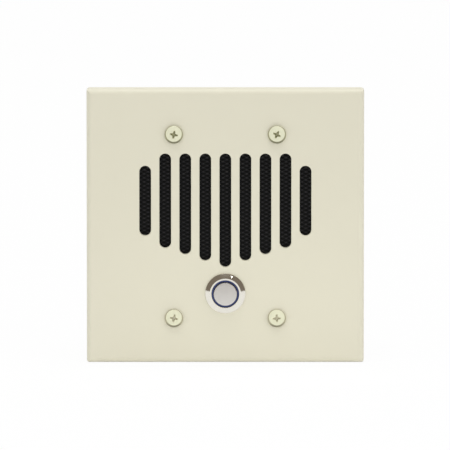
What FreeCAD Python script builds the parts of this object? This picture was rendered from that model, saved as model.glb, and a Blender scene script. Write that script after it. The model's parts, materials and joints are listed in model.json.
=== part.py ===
import FreeCAD, Part
import math
import os

# A flush door station for a two-gang wall box: a slotted steel pan with a lit push button in front,
# and a loudspeaker, a microphone and a small circuit board behind it.
# X runs to the right, Y into the wall and Z up. The wall's surface is y = 0, and the origin is
# the middle of the four mounting screws. All sizes are in millimetres.

# Faceplate
plate_width = 124.0
plate_height = 124.0
plate_depth = 6.35
plate_wall = 1.9
bend_radius = 2.3
corner_radius = 1.4
edge_break = 0.25

# Sound slots
slot_pairs = 4
slot_pitch = 8.96
slot_width = 5.2
slot_top = 32.95
centre_slot_bottom = -18.56
slot_bottom_step = 2.9
outer_slot_step = 5.55

# Mounting screws, on the standard two-gang pattern
screw_spacing_x = 46.04
screw_spacing_z = 83.34
screw_thread_radius = 1.75
screw_neck_radius = 1.45
screw_length = 25.4
screw_head_radius = 4.05
screw_head_edge = 0.85
screw_head_shoulder = 0.65
screw_head_height = 2.0
screw_hole_clearance = 0.35
screw_tip_chamfer = 0.6
recess_span = 3.8
recess_width = 1.0
recess_depth = 1.5
recess_taper = 1.0
screw_turns = {(-1, 1): 12.0, (1, 1): 25.0, (-1, -1): 12.0, (1, -1): -3.0}

# Screen behind the slots, with a dust cloth behind it
mesh_thickness = 0.4
cloth_thickness = 0.25
cloth_inset = 0.3
mesh_margin_side = 5.5
mesh_margin_top = 3.0
mesh_margin_bottom = 1.6
mesh_margin_slope = 2.6
mesh_cutout_gap = 0.5

# Loudspeaker
speaker_radius = 25.0
speaker_height = 7.2
speaker_sheet = 0.8
speaker_flange_width = 3.5
ledge_radius = 17.0
ledge_depth = 5.4
ledge_width = 2.0
basket_depth = 8.0
basket_window_count = 4
basket_window_angle = 48.0
basket_window_margin = 0.9
gasket_thickness = 1.75
gasket_width = 2.1
surround_thickness = 0.25
surround_roll_radius = 1.1
surround_lip = 1.5
surround_start = 0.3
cone_thickness = 0.35
cone_rim_width = 0.8
cone_depth = 4.0
dust_cap_radius = 8.4
dust_cap_height = 2.4
dust_cap_thickness = 0.3
coil_radius = 6.9
former_thickness = 0.15
former_front = 3.7
former_length = 7.6
winding_thickness = 0.25
winding_height = 3.0
magnetic_gap = 0.35
front_pole_radius = 14.0
front_pole_thickness = 2.0
magnet_radius = 16.0
magnet_hole_radius = 8.6
magnet_thickness = 6.0
back_pole_radius = 14.5
back_pole_thickness = 2.2
pole_vent_radius = 1.5
spider_thickness = 0.3
spider_ridge_pitch = 2.0
spider_ridge_height = 0.5
spider_flat = 0.5
glue_gap = 0.05

# Loudspeaker terminals
strip_length = 8.5
strip_width = 12.0
strip_thickness = 0.8
strip_gap = 0.3
lug_length = 8.0
lug_width = 2.0
lug_thickness = 0.4
lug_spacing = 7.0
lug_overhang = 2.5

# Clips, studs, spacers and nuts that hold loudspeaker and board
clip_angles = (90.0, 235.0, 305.0)
clip_reach = 6.5
clip_width = 8.0
clip_sheet = 0.8
clip_hold = 2.1
clip_heel = 4.0
stud_radius = 1.5
stud_hole_gap = 0.15
stud_end = 1.0
small_nut_flats = 5.5
small_nut_height = 2.4
spacer_radius = 2.6
board_gap = 1.45

# Circuit board
board_thickness = 1.6
board_half_width = 38.0
board_top = 34.0
board_margin = 3.8
board_tab_half_width = 9.0
board_corner = 1.5

# Terminal block for the field wires
pole_count = 6
pole_pitch = 5.08
block_depth = 8.0
block_height = 10.0
block_inset = 3.0
entry_width = 3.4
entry_height = 3.6
entry_floor = 1.2
entry_length = 5.5
terminal_screw_radius = 1.7
terminal_screw_sink = 0.6
terminal_screw_length = 2.6
terminal_slot_width = 0.6
terminal_slot_depth = 0.7
terminal_well_gap = 0.2

# Parts on the board. An inset is from the board's nearest side edge and from its upper edge.
chip_length = 9.6
chip_width = 6.4
chip_height = 3.3
chip_lift = 0.5
chip_place = (2.0, 6.0)
leg_count = 4
leg_pitch = 2.54
leg_thickness = 0.3
leg_width = 0.5
leg_reach = 0.7
capacitor_radius = 4.0
capacitor_height = 9.0
capacitor_rim = 0.4
capacitor_insets = ((12.0, 22.0), (12.0, 32.5), (22.0, 40.0))
trimmer_size = 6.8
trimmer_height = 4.2
trimmer_inset = (11.0, 24.0)
rotor_radius = 2.4
rotor_height = 1.1
rotor_sink = 0.6
rotor_clearance = 0.1
rotor_slot_width = 0.6
rotor_slot_depth = 0.6
header_length = 11.0
header_height = 5.0
header_depth = 5.5
header_edge = 3.0
header_pin_spacing = 2.2

# Microphone
capsule_radius = 4.85
capsule_length = 6.0
capsule_pin_radius = 0.3
capsule_pin_length = 1.5
capsule_pin_spacing = 2.54
boot_wall = 1.1
boot_front = 0.75
boot_back = 0.5
boot_hole_radius = 3.2
boot_clearance = 0.05

# Push button
button_height = -30.4
bezel_radius = 9.0
bezel_edge = 0.6
bezel_chamfer_width = 2.0
bezel_chamfer_height = 1.4
bushing_radius = 7.95
bushing_length = 15.0
bushing_bore_radius = 6.2
panel_hole_clearance = 0.15
seal_inner_radius = 8.2
seal_width = 0.55
seal_thickness = 0.5
washer_radius = 9.6
washer_thickness = 0.6
nut_flats = 18.0
nut_height = 3.0
nut_clearance = 0.05
ring_sink = 0.8
ring_wall = 0.75
ring_length = 9.75
ring_clearance = 0.1
cap_radius = 5.15
cap_proud = 0.9
cap_length = 5.05
cap_face = 1.2
cap_wall = 0.7
cap_edge = 0.3
button_travel = 1.5
plunger_radius = 1.6
plunger_clearance = 0.1
collar_radius = 2.5
collar_height = 1.0
collar_gap = 0.02
guide_height = 3.8
guide_front = 5.75
guide_clearance = 0.1
spring_radius = 3.3
spring_wire_radius = 0.25
spring_turns = 6
spring_seat_gap = 0.1
led_board_thickness = 0.8
led_board_clearance = 0.1
collar_clearance = 0.5
led_count = 4
led_width = 1.2
led_height = 0.7
led_radial_gap = 0.07
base_radius = 7.6
base_length = 13.0
base_clearance = 0.1
cavity_radius = 4.6
cavity_depth = 5.6
contact_length = 8.0
contact_width = 2.4
contact_thickness = 0.4
contact_gap = 0.05
contact_head_radius = 0.9
terminal_spacing = 6.0
blade_width = 1.6
blade_thickness = 0.5
blade_length = 5.5
lamp_pin_radius = 0.4

# Wires
lead_radius = 0.4
lead_rise = 4.5
lead_crown = 5.5
lead_bends = (0.35, 0.66)
speaker_lead_shift = 5.0
speaker_lead_spacing = 4.0
microphone_lead_shift = 4.0
microphone_lead_drop = 5.0

# Planes worked out from the sizes above
front = -plate_depth
skin = front + plate_wall
mesh_back = skin + mesh_thickness
cloth_back = mesh_back + cloth_thickness
speaker_front = cloth_back + gasket_thickness
flange_back = speaker_front + speaker_sheet
floor_back = speaker_front + basket_depth + speaker_sheet
front_pole_back = floor_back + front_pole_thickness
magnet_back = front_pole_back + magnet_thickness
speaker_back = magnet_back + back_pole_thickness
board_front = speaker_back + board_gap
board_back = board_front + board_thickness
board_nut_back = board_back + small_nut_height
block_top = board_top - block_inset
cone_rim_radius = speaker_radius - speaker_flange_width - surround_start - 2 * surround_roll_radius
rim_front = front - bezel_edge - bezel_chamfer_height
cap_front = rim_front - cap_proud
ring_outer_radius = bushing_bore_radius - ring_clearance
ring_inner_radius = ring_outer_radius - ring_wall
ring_front = rim_front + ring_sink
ring_back = ring_front + ring_length
guide_start = front + guide_front
guide_back = guide_start + guide_height
led_board_back = guide_back + led_board_thickness
cavity_floor = led_board_back + cavity_depth
bushing_back = front + bushing_length
base_back = led_board_back + base_length
terminal_end = base_back + blade_length

across_y = FreeCAD.Vector(0, 1, 0)


def place(x, y, z):
    return FreeCAD.Vector(x, y, z)


def block(x_low, x_high, y_low, y_high, z_low, z_high):
    """A plain box between two values on each axis."""
    return Part.makeBox(x_high - x_low, y_high - y_low, z_high - z_low, place(x_low, y_low, z_low))


def rod(radius, y_low, y_high, x=0.0, z=0.0):
    """A round bar along Y."""
    return Part.makeCylinder(radius, y_high - y_low, place(x, y_low, z), across_y)


def ring(outer, inner, y_low, y_high, x=0.0, z=0.0):
    """A round bar along Y with a round hole through it."""
    return rod(outer, y_low, y_high, x, z).cut(rod(inner, y_low - 1, y_high + 1, x, z))


def outline(points, to_space):
    """A closed wire. A pair of points in the list is an arc through the first one to the second."""
    edges = []
    start = to_space(*points[0])
    first = start
    for point in points[1:]:
        if isinstance(point[0], tuple):
            end = to_space(*point[1])
            edges.append(Part.Arc(start, to_space(*point[0]), end).toShape())
        else:
            end = to_space(*point)
            edges.append(Part.LineSegment(start, end).toShape())
        start = end
    if start.distanceToPoint(first) > 1e-9:
        edges.append(Part.LineSegment(start, first).toShape())
    return Part.Wire(edges)


def turned(points, x=0.0, z=0.0):
    """A solid turned about a line along Y, from a closed outline of radius and y."""
    face = Part.Face(outline(points, lambda radius, y: place(x + radius, y, z)))
    return face.revolve(place(x, 0, z), across_y, 360)


def prism(points, y_low, y_high):
    """A closed outline of x and z, made into a solid along Y."""
    face = Part.Face(outline(points, lambda x, z: place(x, y_low, z)))
    return face.extrude(place(0, y_high - y_low, 0))


def hexagon(across_flats, y_low, y_high, x, z):
    """A six-sided bar along Y with a flat on top."""
    radius = across_flats / 2 / math.cos(math.pi / 6)
    corners = [math.radians(60 * k) for k in range(6)]
    return prism([(x + radius * math.cos(a), z + radius * math.sin(a)) for a in corners], y_low, y_high)


def rounded_rectangle(x_low, x_high, z_low, z_high, radius):
    """The outline of a rectangle of x and z with round corners."""
    reach = radius * (1 - math.sqrt(0.5))
    return [
        (x_low + radius, z_low),
        (x_high - radius, z_low),
        ((x_high - reach, z_low + reach), (x_high, z_low + radius)),
        (x_high, z_high - radius),
        ((x_high - reach, z_high - reach), (x_high - radius, z_high)),
        (x_low + radius, z_high),
        ((x_low + reach, z_high - reach), (x_low, z_high - radius)),
        (x_low, z_low + radius),
        ((x_low + reach, z_low + reach), (x_low + radius, z_low)),
    ]


def turn(shape, degrees, x=0.0, z=0.0):
    """A copy turned about a line along Y. A positive angle is clockwise as seen from the front."""
    copy = shape.copy()
    copy.rotate(place(x, 0, z), across_y, degrees)
    return copy


def group(solids):
    return Part.makeCompound(solids)


def screw_places():
    return [(i * screw_spacing_x / 2, j * screw_spacing_z / 2, angle) for (i, j), angle in screw_turns.items()]


def slot_places():
    """The middle, bottom and top of each slot, from left to right."""
    places = []
    for k in range(-slot_pairs, slot_pairs + 1):
        outer = abs(k) == slot_pairs
        steps = abs(k) - 1 if outer else abs(k)
        bottom = centre_slot_bottom + steps * slot_bottom_step + (outer_slot_step if outer else 0)
        top = slot_top - (outer_slot_step if outer else 0)
        places.append((k * slot_pitch, bottom, top))
    return places


def slot_cutter(x, bottom, top):
    """A slot with round ends, through the plate."""
    half = slot_width / 2
    points = [
        (x - half, bottom + half),
        ((x, bottom), (x + half, bottom + half)),
        (x + half, top - half),
        ((x, top), (x - half, top - half)),
    ]
    return prism(points, front - 1, skin + 1)


def pressed_block(half_width, half_height, y_front, y_back, radius):
    """A block whose four front edges are rounded, as in a pan bent from one sheet."""
    shape = block(-half_width, half_width, y_front, y_back, -half_height, half_height)
    edges = [e for e in shape.Edges if abs(e.BoundBox.YMax - y_front) < 1e-6]
    return shape.makeFillet(radius, edges)


def faceplate():
    half_width = plate_width / 2
    half_height = plate_height / 2
    outside = pressed_block(half_width, half_height, front, 0, bend_radius)
    corners = rounded_rectangle(-half_width, half_width, -half_height, half_height, corner_radius)
    outside = outside.common(prism(corners, front - 1, 1))
    inside = pressed_block(
        half_width - plate_wall, half_height - plate_wall, skin, 1, bend_radius - plate_wall
    )
    pan = outside.cut(inside)
    for x, bottom, top in slot_places():
        pan = pan.cut(slot_cutter(x, bottom, top))
    for x, z, _ in screw_places():
        pan = pan.cut(rod(screw_thread_radius + screw_hole_clearance, front - 1, skin + 1, x, z))
    pan = pan.cut(rod(bushing_radius + panel_hole_clearance, front - 1, skin + 1, 0, button_height))
    slot_edges = []
    for edge in pan.Edges:
        box = edge.BoundBox
        on_front = box.YMax - front < 1e-6
        in_slots = box.ZMax <= slot_top + 1e-6 and box.ZMin >= centre_slot_bottom - 1e-6
        if on_front and in_slots and abs(box.XMax) <= slot_pairs * slot_pitch + slot_width:
            slot_edges.append(edge)
    return pan.makeFillet(edge_break, slot_edges)


def mounting_screw():
    """A pan head screw on the Y axis, with its head on the plate and a thinner neck in the plate."""
    head_top = front - screw_head_height
    head_edge = front - screw_head_edge
    face_radius = screw_head_radius - screw_head_shoulder
    face_edge = head_edge - screw_head_shoulder
    shoulder = screw_head_shoulder * math.sqrt(0.5)
    dome_y = head_top + (face_edge - head_top) / 4
    end = front + screw_length
    neck_end = skin + screw_hole_clearance / 2
    body = turned([
        (0, head_top),
        (0, end),
        (screw_thread_radius - screw_tip_chamfer, end),
        (screw_thread_radius, end - screw_tip_chamfer),
        (screw_thread_radius, neck_end),
        (screw_neck_radius, neck_end),
        (screw_neck_radius, front),
        (screw_head_radius, front),
        (screw_head_radius, head_edge),
        ((face_radius + shoulder, head_edge - shoulder), (face_radius, face_edge)),
        ((face_radius / 2, dome_y), (0, head_top)),
    ])
    half_top = recess_span / 2
    half_bottom = half_top - recess_taper
    deep = head_top + recess_depth
    for angle in (0, 90):
        profile = [
            place(-half_top, head_top - 1, -recess_width / 2),
            place(half_top, head_top - 1, -recess_width / 2),
            place(half_top, head_top, -recess_width / 2),
            place(half_bottom, deep, -recess_width / 2),
            place(-half_bottom, deep, -recess_width / 2),
            place(-half_top, head_top, -recess_width / 2),
        ]
        wing = Part.Face(Part.makePolygon(profile + profile[:1])).extrude(place(0, 0, recess_width))
        body = body.cut(turn(wing, angle))
    return body


def mounting_screws():
    screws = []
    for x, z, angle in screw_places():
        screw = turn(mounting_screw(), angle)
        screw.translate(place(x, 0, z))
        screws.append(screw)
    return group(screws)


def stud_places():
    """The places of the three weld studs round the loudspeaker, with their directions."""
    reach = speaker_radius + clip_reach
    angles = [math.radians(a) for a in clip_angles]
    return [(reach * math.cos(a), speaker_height + reach * math.sin(a), math.degrees(a)) for a in angles]


def slot_cover(y_low, y_high, inset):
    """A sheet behind all slots. Its lower corners are cut off, and studs and button washer have room."""
    slots = slot_places()
    side = slots[-1][0] + slot_width / 2 + mesh_margin_side - inset
    low = slots[-1][1] - mesh_margin_slope + inset
    middle = slots[slot_pairs + 1][0]
    bottom = centre_slot_bottom - mesh_margin_bottom + inset
    top = slot_top + mesh_margin_top - inset
    sheet = prism(
        [(-side, low), (-middle, bottom), (middle, bottom), (side, low), (side, top), (-side, top)],
        y_low,
        y_high,
    )
    for x, z, _ in stud_places():
        sheet = sheet.cut(rod(stud_radius + mesh_cutout_gap + inset, y_low - 1, y_high + 1, x, z))
    return sheet.cut(rod(washer_radius + mesh_cutout_gap + inset, y_low - 1, y_high + 1, 0, button_height))


def grille_mesh():
    return slot_cover(skin, mesh_back, 0)


def dust_cloth():
    """The black cloth bonded to the back of the screen."""
    return slot_cover(mesh_back, cloth_back, cloth_inset)


def speaker_gasket():
    return ring(speaker_radius, speaker_radius - gasket_width, cloth_back, speaker_front, 0, speaker_height)


def speaker_frame():
    """The pressed basket: a flange, a sloping wall with windows, a ledge and a floor with a hole."""
    inner = speaker_radius - speaker_flange_width
    ledge = speaker_front + ledge_depth
    floor = speaker_front + basket_depth
    hole = coil_radius + winding_thickness + magnetic_gap + speaker_sheet
    low_wall = ledge_radius - ledge_width
    slope = math.atan2(ledge_depth, inner - ledge_radius)
    shift = speaker_sheet * math.tan(slope / 2)
    basket = turned([
        (speaker_radius, speaker_front),
        (inner, speaker_front),
        (ledge_radius, ledge),
        (low_wall, ledge),
        (low_wall, floor),
        (hole, floor),
        (hole, floor_back),
        (low_wall + speaker_sheet, floor_back),
        (low_wall + speaker_sheet, ledge + speaker_sheet),
        (ledge_radius + shift, ledge + speaker_sheet),
        (inner + shift, flange_back),
        (speaker_radius, flange_back),
    ], 0, speaker_height)
    window_low = flange_back + basket_window_margin
    window_high = ledge - basket_window_margin
    half = math.radians(basket_window_angle / 2)
    far = speaker_radius
    near = ledge_radius / 2
    wedge = [
        (near * math.cos(half), speaker_height + near * math.sin(half)),
        (near * math.cos(half), speaker_height - near * math.sin(half)),
        (far * math.cos(half), speaker_height - far * math.sin(half)),
        (far * math.cos(half), speaker_height + far * math.sin(half)),
    ]
    window = prism(wedge, window_low, window_high)
    for k in range(basket_window_count):
        basket = basket.cut(turn(window, (k + 0.5) * 360 / basket_window_count, 0, speaker_height))
    return basket


def speaker_surround():
    """A half roll between the cone's rim and the flange, bulging forwards."""
    back = speaker_front
    face = back - surround_thickness
    roll_out = speaker_radius - speaker_flange_width - surround_start
    roll_in = roll_out - 2 * surround_roll_radius
    middle = (roll_in + roll_out) / 2
    crown = face - surround_roll_radius
    return turned([
        (roll_out + surround_lip, back),
        (roll_out - surround_thickness, back),
        (roll_out - surround_thickness, face),
        ((middle, crown + surround_thickness), (roll_in + surround_thickness, face)),
        (roll_in + surround_thickness, back),
        (roll_in - cone_rim_width, back),
        (roll_in - cone_rim_width, face),
        (roll_in, face),
        ((middle, crown), (roll_out, face)),
        (roll_out + surround_lip, face),
    ], 0, speaker_height)


def cone_front(radius):
    """The y of the cone's front face at a radius."""
    outer = cone_rim_radius - cone_rim_width
    inner = coil_radius + glue_gap
    return speaker_front + glue_gap + cone_depth * (outer - radius) / (outer - inner)


def speaker_cone():
    outer = cone_rim_radius - cone_rim_width
    inner = coil_radius + glue_gap
    rim = speaker_front + glue_gap
    return turned([
        (cone_rim_radius, rim),
        (outer, rim),
        (inner, cone_front(inner)),
        (inner, cone_front(inner) + cone_thickness),
        (outer, rim + cone_thickness),
        (cone_rim_radius, rim + cone_thickness),
    ], 0, speaker_height)


def dust_cap():
    """A thin dome glued to the front of the cone, over the coil former."""
    base = cone_front(dust_cap_radius) - glue_gap / 2
    top = base - dust_cap_height
    half_chord = dust_cap_radius / 2
    sphere = (dust_cap_radius ** 2 + dust_cap_height ** 2) / (2 * dust_cap_height)
    centre = top + sphere
    bulge = centre - math.sqrt(sphere ** 2 - half_chord ** 2)
    inner_sphere = sphere - dust_cap_thickness
    inner_rim = math.sqrt(inner_sphere ** 2 - (centre - base) ** 2)
    inner_chord = inner_rim / 2
    inner_bulge = centre - math.sqrt(inner_sphere ** 2 - inner_chord ** 2)
    return turned([
        (0, top),
        ((half_chord, bulge), (dust_cap_radius, base)),
        (inner_rim, base),
        ((inner_chord, inner_bulge), (0, top + dust_cap_thickness)),
    ], 0, speaker_height)


def coil_former():
    start = speaker_front + former_front
    inner = coil_radius - former_thickness
    return ring(coil_radius, inner, start, start + former_length, 0, speaker_height)


def coil_winding():
    """The winding, with its middle in the middle of the front pole plate."""
    middle = floor_back + front_pole_thickness / 2
    outer = coil_radius + winding_thickness
    return ring(outer, coil_radius, middle - winding_height / 2, middle + winding_height / 2, 0, speaker_height)


def spider():
    """The corrugated disc that centres the coil, seated on the basket's ledge."""
    rim = speaker_front + ledge_depth
    inner = coil_radius + glue_gap
    rim_inner = ledge_radius - ledge_width
    ridged = rim_inner - inner - 2 * spider_flat
    ridges = max(1, int(ridged / spider_ridge_pitch))
    pitch = ridged / ridges
    ridge_start = rim_inner - spider_flat
    front_side = [(ledge_radius - glue_gap, rim - spider_thickness), (ridge_start, rim - spider_thickness)]
    for k in range(ridges):
        low = ridge_start - k * pitch
        front_side.append((low - pitch / 2, rim - spider_thickness - spider_ridge_height))
        front_side.append((low - pitch, rim - spider_thickness))
    front_side.append((inner, rim - spider_thickness))
    back_side = [(radius, y + spider_thickness) for radius, y in reversed(front_side)]
    return turned(front_side + back_side, 0, speaker_height)


def front_pole_plate():
    bore = coil_radius + winding_thickness + magnetic_gap
    return ring(front_pole_radius, bore, floor_back, front_pole_back, 0, speaker_height)


def magnet():
    return ring(magnet_radius, magnet_hole_radius, front_pole_back, magnet_back, 0, speaker_height)


def pole_piece():
    """The back plate with its pole, and the vent through both."""
    plate = rod(back_pole_radius, magnet_back, speaker_back, 0, speaker_height)
    pole_radius = coil_radius - former_thickness - magnetic_gap
    pole = rod(pole_radius, floor_back, magnet_back, 0, speaker_height)
    vent = rod(pole_vent_radius, floor_back - 1, speaker_back + 1, 0, speaker_height)
    return plate.fuse(pole).cut(vent).removeSplitter()


def terminal_strip():
    start = front_pole_radius + strip_gap
    z_low = speaker_height - strip_width / 2
    z_high = speaker_height + strip_width / 2
    return block(start, start + strip_length, floor_back, floor_back + strip_thickness, z_low, z_high)


def lug_end():
    return front_pole_radius + strip_gap + strip_length + lug_overhang


def lug_heights():
    return [speaker_height - lug_spacing / 2, speaker_height + lug_spacing / 2]


def terminal_lugs():
    low = floor_back + strip_thickness
    end = lug_end()
    half = lug_width / 2
    return group([block(end - lug_length, end, low, low + lug_thickness, z - half, z + half) for z in lug_heights()])


def weld_studs():
    end = board_nut_back + stud_end
    return group([rod(stud_radius, skin, end, x, z) for x, z, _ in stud_places()])


def speaker_clips():
    """Three bent tabs, each with a heel on the plate and its other end on the flange."""
    clips = []
    stud = speaker_radius + clip_reach
    inner = speaker_radius - clip_hold
    outer = stud + clip_heel
    half = clip_width / 2
    clip_back = flange_back + clip_sheet
    for _, _, angle in stud_places():
        low = speaker_height - half
        high = speaker_height + half
        bar = block(inner, outer, flange_back, clip_back, low, high)
        heel = block(outer - clip_sheet, outer, skin, clip_back, low, high)
        hole = rod(stud_radius + stud_hole_gap, skin, clip_back + 1, stud, speaker_height)
        clip = bar.fuse(heel).removeSplitter().cut(hole)
        clips.append(turn(clip, -angle, 0, speaker_height))
    return group(clips)


def small_nuts(y_low):
    """A nut on each stud."""
    nuts = []
    for x, z, _ in stud_places():
        nut = hexagon(small_nut_flats, y_low, y_low + small_nut_height, x, z)
        hole = rod(stud_radius + stud_hole_gap / 3, y_low - 1, y_low + small_nut_height + 1, x, z)
        nuts.append(nut.cut(hole))
    return group(nuts)


def board_spacers():
    low = flange_back + clip_sheet + small_nut_height
    bore = stud_radius + stud_hole_gap
    return group([ring(spacer_radius, bore, low, board_front, x, z) for x, z, _ in stud_places()])


def circuit_board():
    """The board, with a tab that reaches the top stud between the two upper mounting screws."""
    studs = stud_places()
    bottom = studs[1][1] - board_margin
    tab_top = studs[0][1] + board_margin
    main = rounded_rectangle(-board_half_width, board_half_width, bottom, board_top, board_corner)
    tab = rounded_rectangle(-board_tab_half_width, board_tab_half_width, speaker_height, tab_top, board_corner)
    board = prism(main, board_front, board_back).fuse(prism(tab, board_front, board_back)).removeSplitter()
    for x, z, _ in studs:
        board = board.cut(rod(stud_radius + stud_hole_gap, board_front - 1, board_back + 1, x, z))
    return board


def pole_middles():
    return [(k - (pole_count - 1) / 2) * pole_pitch for k in range(pole_count)]


def terminal_block():
    """The screw terminal block, with wire entries on top and screw wells at the back."""
    half = pole_count * pole_pitch / 2
    top = board_back + block_height
    low = block_top - block_depth
    body = block(-half, half, board_back, top, low, block_top)
    entry_low = board_back + entry_floor
    entry_high = entry_low + entry_height
    well = terminal_screw_radius + terminal_well_gap
    for x in pole_middles():
        left = x - entry_width / 2
        right = x + entry_width / 2
        body = body.cut(block(left, right, entry_low, entry_high, block_top - entry_length, block_top + 1))
        body = body.cut(rod(well, entry_high, top + 1, x, (low + block_top) / 2))
    return body


def terminal_screws():
    """A slotted screw in each well, reaching down to the wire entry."""
    top = board_back + block_height - terminal_screw_sink
    middle = block_top - block_depth / 2
    slot_low = top - terminal_slot_depth
    half = terminal_slot_width / 2
    screws = []
    for x in pole_middles():
        screw = rod(terminal_screw_radius, top - terminal_screw_length, top, x, middle)
        slot = block(
            x - terminal_screw_radius, x + terminal_screw_radius, slot_low, top + 1, middle - half, middle + half
        )
        screws.append(screw.cut(slot))
    return group(screws)


def amplifier_chip():
    x, z = chip_place
    low = board_back + chip_lift
    half_length = chip_length / 2
    half_width = chip_width / 2
    body = block(x - half_length, x + half_length, low, low + chip_height, z - half_width, z + half_width)
    notch = rod(leg_width * 2, low + chip_height - leg_thickness, low + chip_height + 1, x - half_length, z)
    return body.cut(notch)


def chip_legs():
    """Two rows of bent legs, each from the chip's side down to the board."""
    x, z = chip_place
    middle = board_back + chip_lift + chip_height / 2
    side = chip_width / 2
    legs = []
    for k in range(leg_count):
        leg_x = x + (k - (leg_count - 1) / 2) * leg_pitch
        low = leg_x - leg_width / 2
        high = leg_x + leg_width / 2
        for sign in (-1, 1):
            near = z + sign * side
            far = z + sign * (side + leg_reach)
            knee = z + sign * (side + leg_reach - leg_thickness)
            z_low = min(near, far)
            z_high = max(near, far)
            foot_low = min(knee, far)
            foot_high = max(knee, far)
            arm = block(low, high, middle, middle + leg_thickness, z_low, z_high)
            foot = block(low, high, board_back, middle + leg_thickness, foot_low, foot_high)
            legs.append(arm.fuse(foot).removeSplitter())
    return group(legs)


def capacitors():
    cans = []
    for from_side, from_top in capacitor_insets:
        x = from_side - board_half_width
        can = rod(capacitor_radius, board_back, board_back + capacitor_height, x, board_top - from_top)
        rim = [e for e in can.Edges if e.BoundBox.YMin > board_back + capacitor_height - 1e-6]
        cans.append(can.makeFillet(capacitor_rim, rim))
    return group(cans)


def trimmer_place():
    return board_half_width - trimmer_inset[0], board_top - trimmer_inset[1]


def trimmer_body():
    x, z = trimmer_place()
    half = trimmer_size / 2
    top = board_back + trimmer_height
    body = block(x - half, x + half, board_back, top, z - half, z + half)
    return body.cut(rod(rotor_radius + rotor_clearance, top - rotor_sink, top + 1, x, z))


def trimmer_rotor():
    """The round knob of the trimmer, with a screwdriver slot, standing a little out of its body."""
    x, z = trimmer_place()
    low = board_back + trimmer_height - rotor_sink + rotor_clearance
    top = low + rotor_height
    half = rotor_slot_width / 2
    rotor = rod(rotor_radius, low, top, x, z)
    slot = block(x - rotor_radius, x + rotor_radius, top - rotor_slot_depth, top + 1, z - half, z + half)
    return rotor.cut(slot)


def header_middle():
    """The z of the lead header's middle, in from the board's lower edge."""
    return stud_places()[1][1] - board_margin + header_edge + header_depth / 2


def lead_header():
    half = header_length / 2
    low = header_middle() - header_depth / 2
    return block(-half, half, board_back, board_back + header_height, low, low + header_depth)


def microphone_place():
    x, bottom, top = slot_places()[0]
    return x, (bottom + top) / 2


def microphone_boot():
    x, z = microphone_place()
    outer = capsule_radius + boot_clearance + boot_wall
    back = cloth_back + boot_front + capsule_length + boot_back
    boot = rod(outer, cloth_back, back, x, z)
    pocket = rod(capsule_radius + boot_clearance, cloth_back + boot_front, back + 1, x, z)
    return boot.cut(pocket).cut(rod(boot_hole_radius, cloth_back - 1, back, x, z))


def microphone_capsule():
    x, z = microphone_place()
    start = cloth_back + boot_front
    end = start + capsule_length
    capsule = rod(capsule_radius, start, end, x, z)
    for side in (-1, 1):
        pin_x = x + side * capsule_pin_spacing / 2
        capsule = capsule.fuse(rod(capsule_pin_radius, start + boot_front, end + capsule_pin_length, pin_x, z))
    return capsule.removeSplitter()


def button_housing():
    """The polished bezel and the bushing behind it, with the groove for the seal."""
    seal_outer = seal_inner_radius + seal_width
    rim_radius = bezel_radius - bezel_chamfer_width
    return turned([
        (bushing_bore_radius, rim_front),
        (rim_radius, rim_front),
        (bezel_radius, front - bezel_edge),
        (bezel_radius, front),
        (seal_outer, front),
        (seal_outer, front - seal_thickness),
        (seal_inner_radius, front - seal_thickness),
        (seal_inner_radius, front),
        (bushing_radius, front),
        (bushing_radius, bushing_back),
        (bushing_bore_radius, bushing_back),
    ], 0, button_height)


def button_seal():
    outer = seal_inner_radius + seal_width
    return ring(outer, seal_inner_radius, front - seal_thickness, front, 0, button_height)


def button_washer():
    bore = bushing_radius + panel_hole_clearance
    return ring(washer_radius, bore, skin, skin + washer_thickness, 0, button_height)


def button_nut():
    low = skin + washer_thickness
    nut = hexagon(nut_flats, low, low + nut_height, 0, button_height)
    return nut.cut(rod(bushing_radius + nut_clearance, low - 1, low + nut_height + 1, 0, button_height))


def light_ring():
    return ring(ring_outer_radius, ring_inner_radius, ring_front, ring_back, 0, button_height)


def button_cap():
    """The pressed cap, a cup with its open side towards the spring."""
    back = cap_front + cap_length
    inner = cap_radius - cap_wall
    floor = cap_front + cap_face
    return turned([
        (0, cap_front),
        (cap_radius - cap_edge, cap_front),
        (cap_radius, cap_front + cap_edge),
        (cap_radius, back),
        (inner, back),
        (inner, floor),
        (0, floor),
    ], 0, button_height)


def plunger_end():
    """The y of the plunger's end, short of the fixed contacts by the contact's height and travel."""
    return cavity_floor - contact_gap - button_travel - 2 * contact_thickness - contact_head_radius


def button_plunger():
    """The rod behind the cap, with the collar that stops it at the back of its guide."""
    start = cap_front + cap_face
    collar = guide_back + collar_gap
    return turned([
        (0, start),
        (plunger_radius, start),
        (plunger_radius, collar),
        (collar_radius, collar),
        (collar_radius, collar + collar_height),
        (plunger_radius, collar + collar_height),
        (plunger_radius, plunger_end()),
        (0, plunger_end()),
    ], 0, button_height)


def plunger_guide():
    outer = ring_inner_radius - guide_clearance
    inner = plunger_radius + plunger_clearance
    return ring(outer, inner, guide_start, guide_back, 0, button_height)


def arc_through(start, corner, end):
    """The arc that touches both arms of a corner, whose arms are equally long."""
    first = corner.sub(start)
    second = end.sub(corner)
    cos_turn = first.dot(second) / (first.Length * second.Length)
    weight = math.sqrt((1 + cos_turn) / 2)
    middle = start.add(corner.multiply(2 * weight)).add(end).multiply(1 / (2 + 2 * weight))
    return Part.Arc(start, middle, end).toShape()


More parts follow.
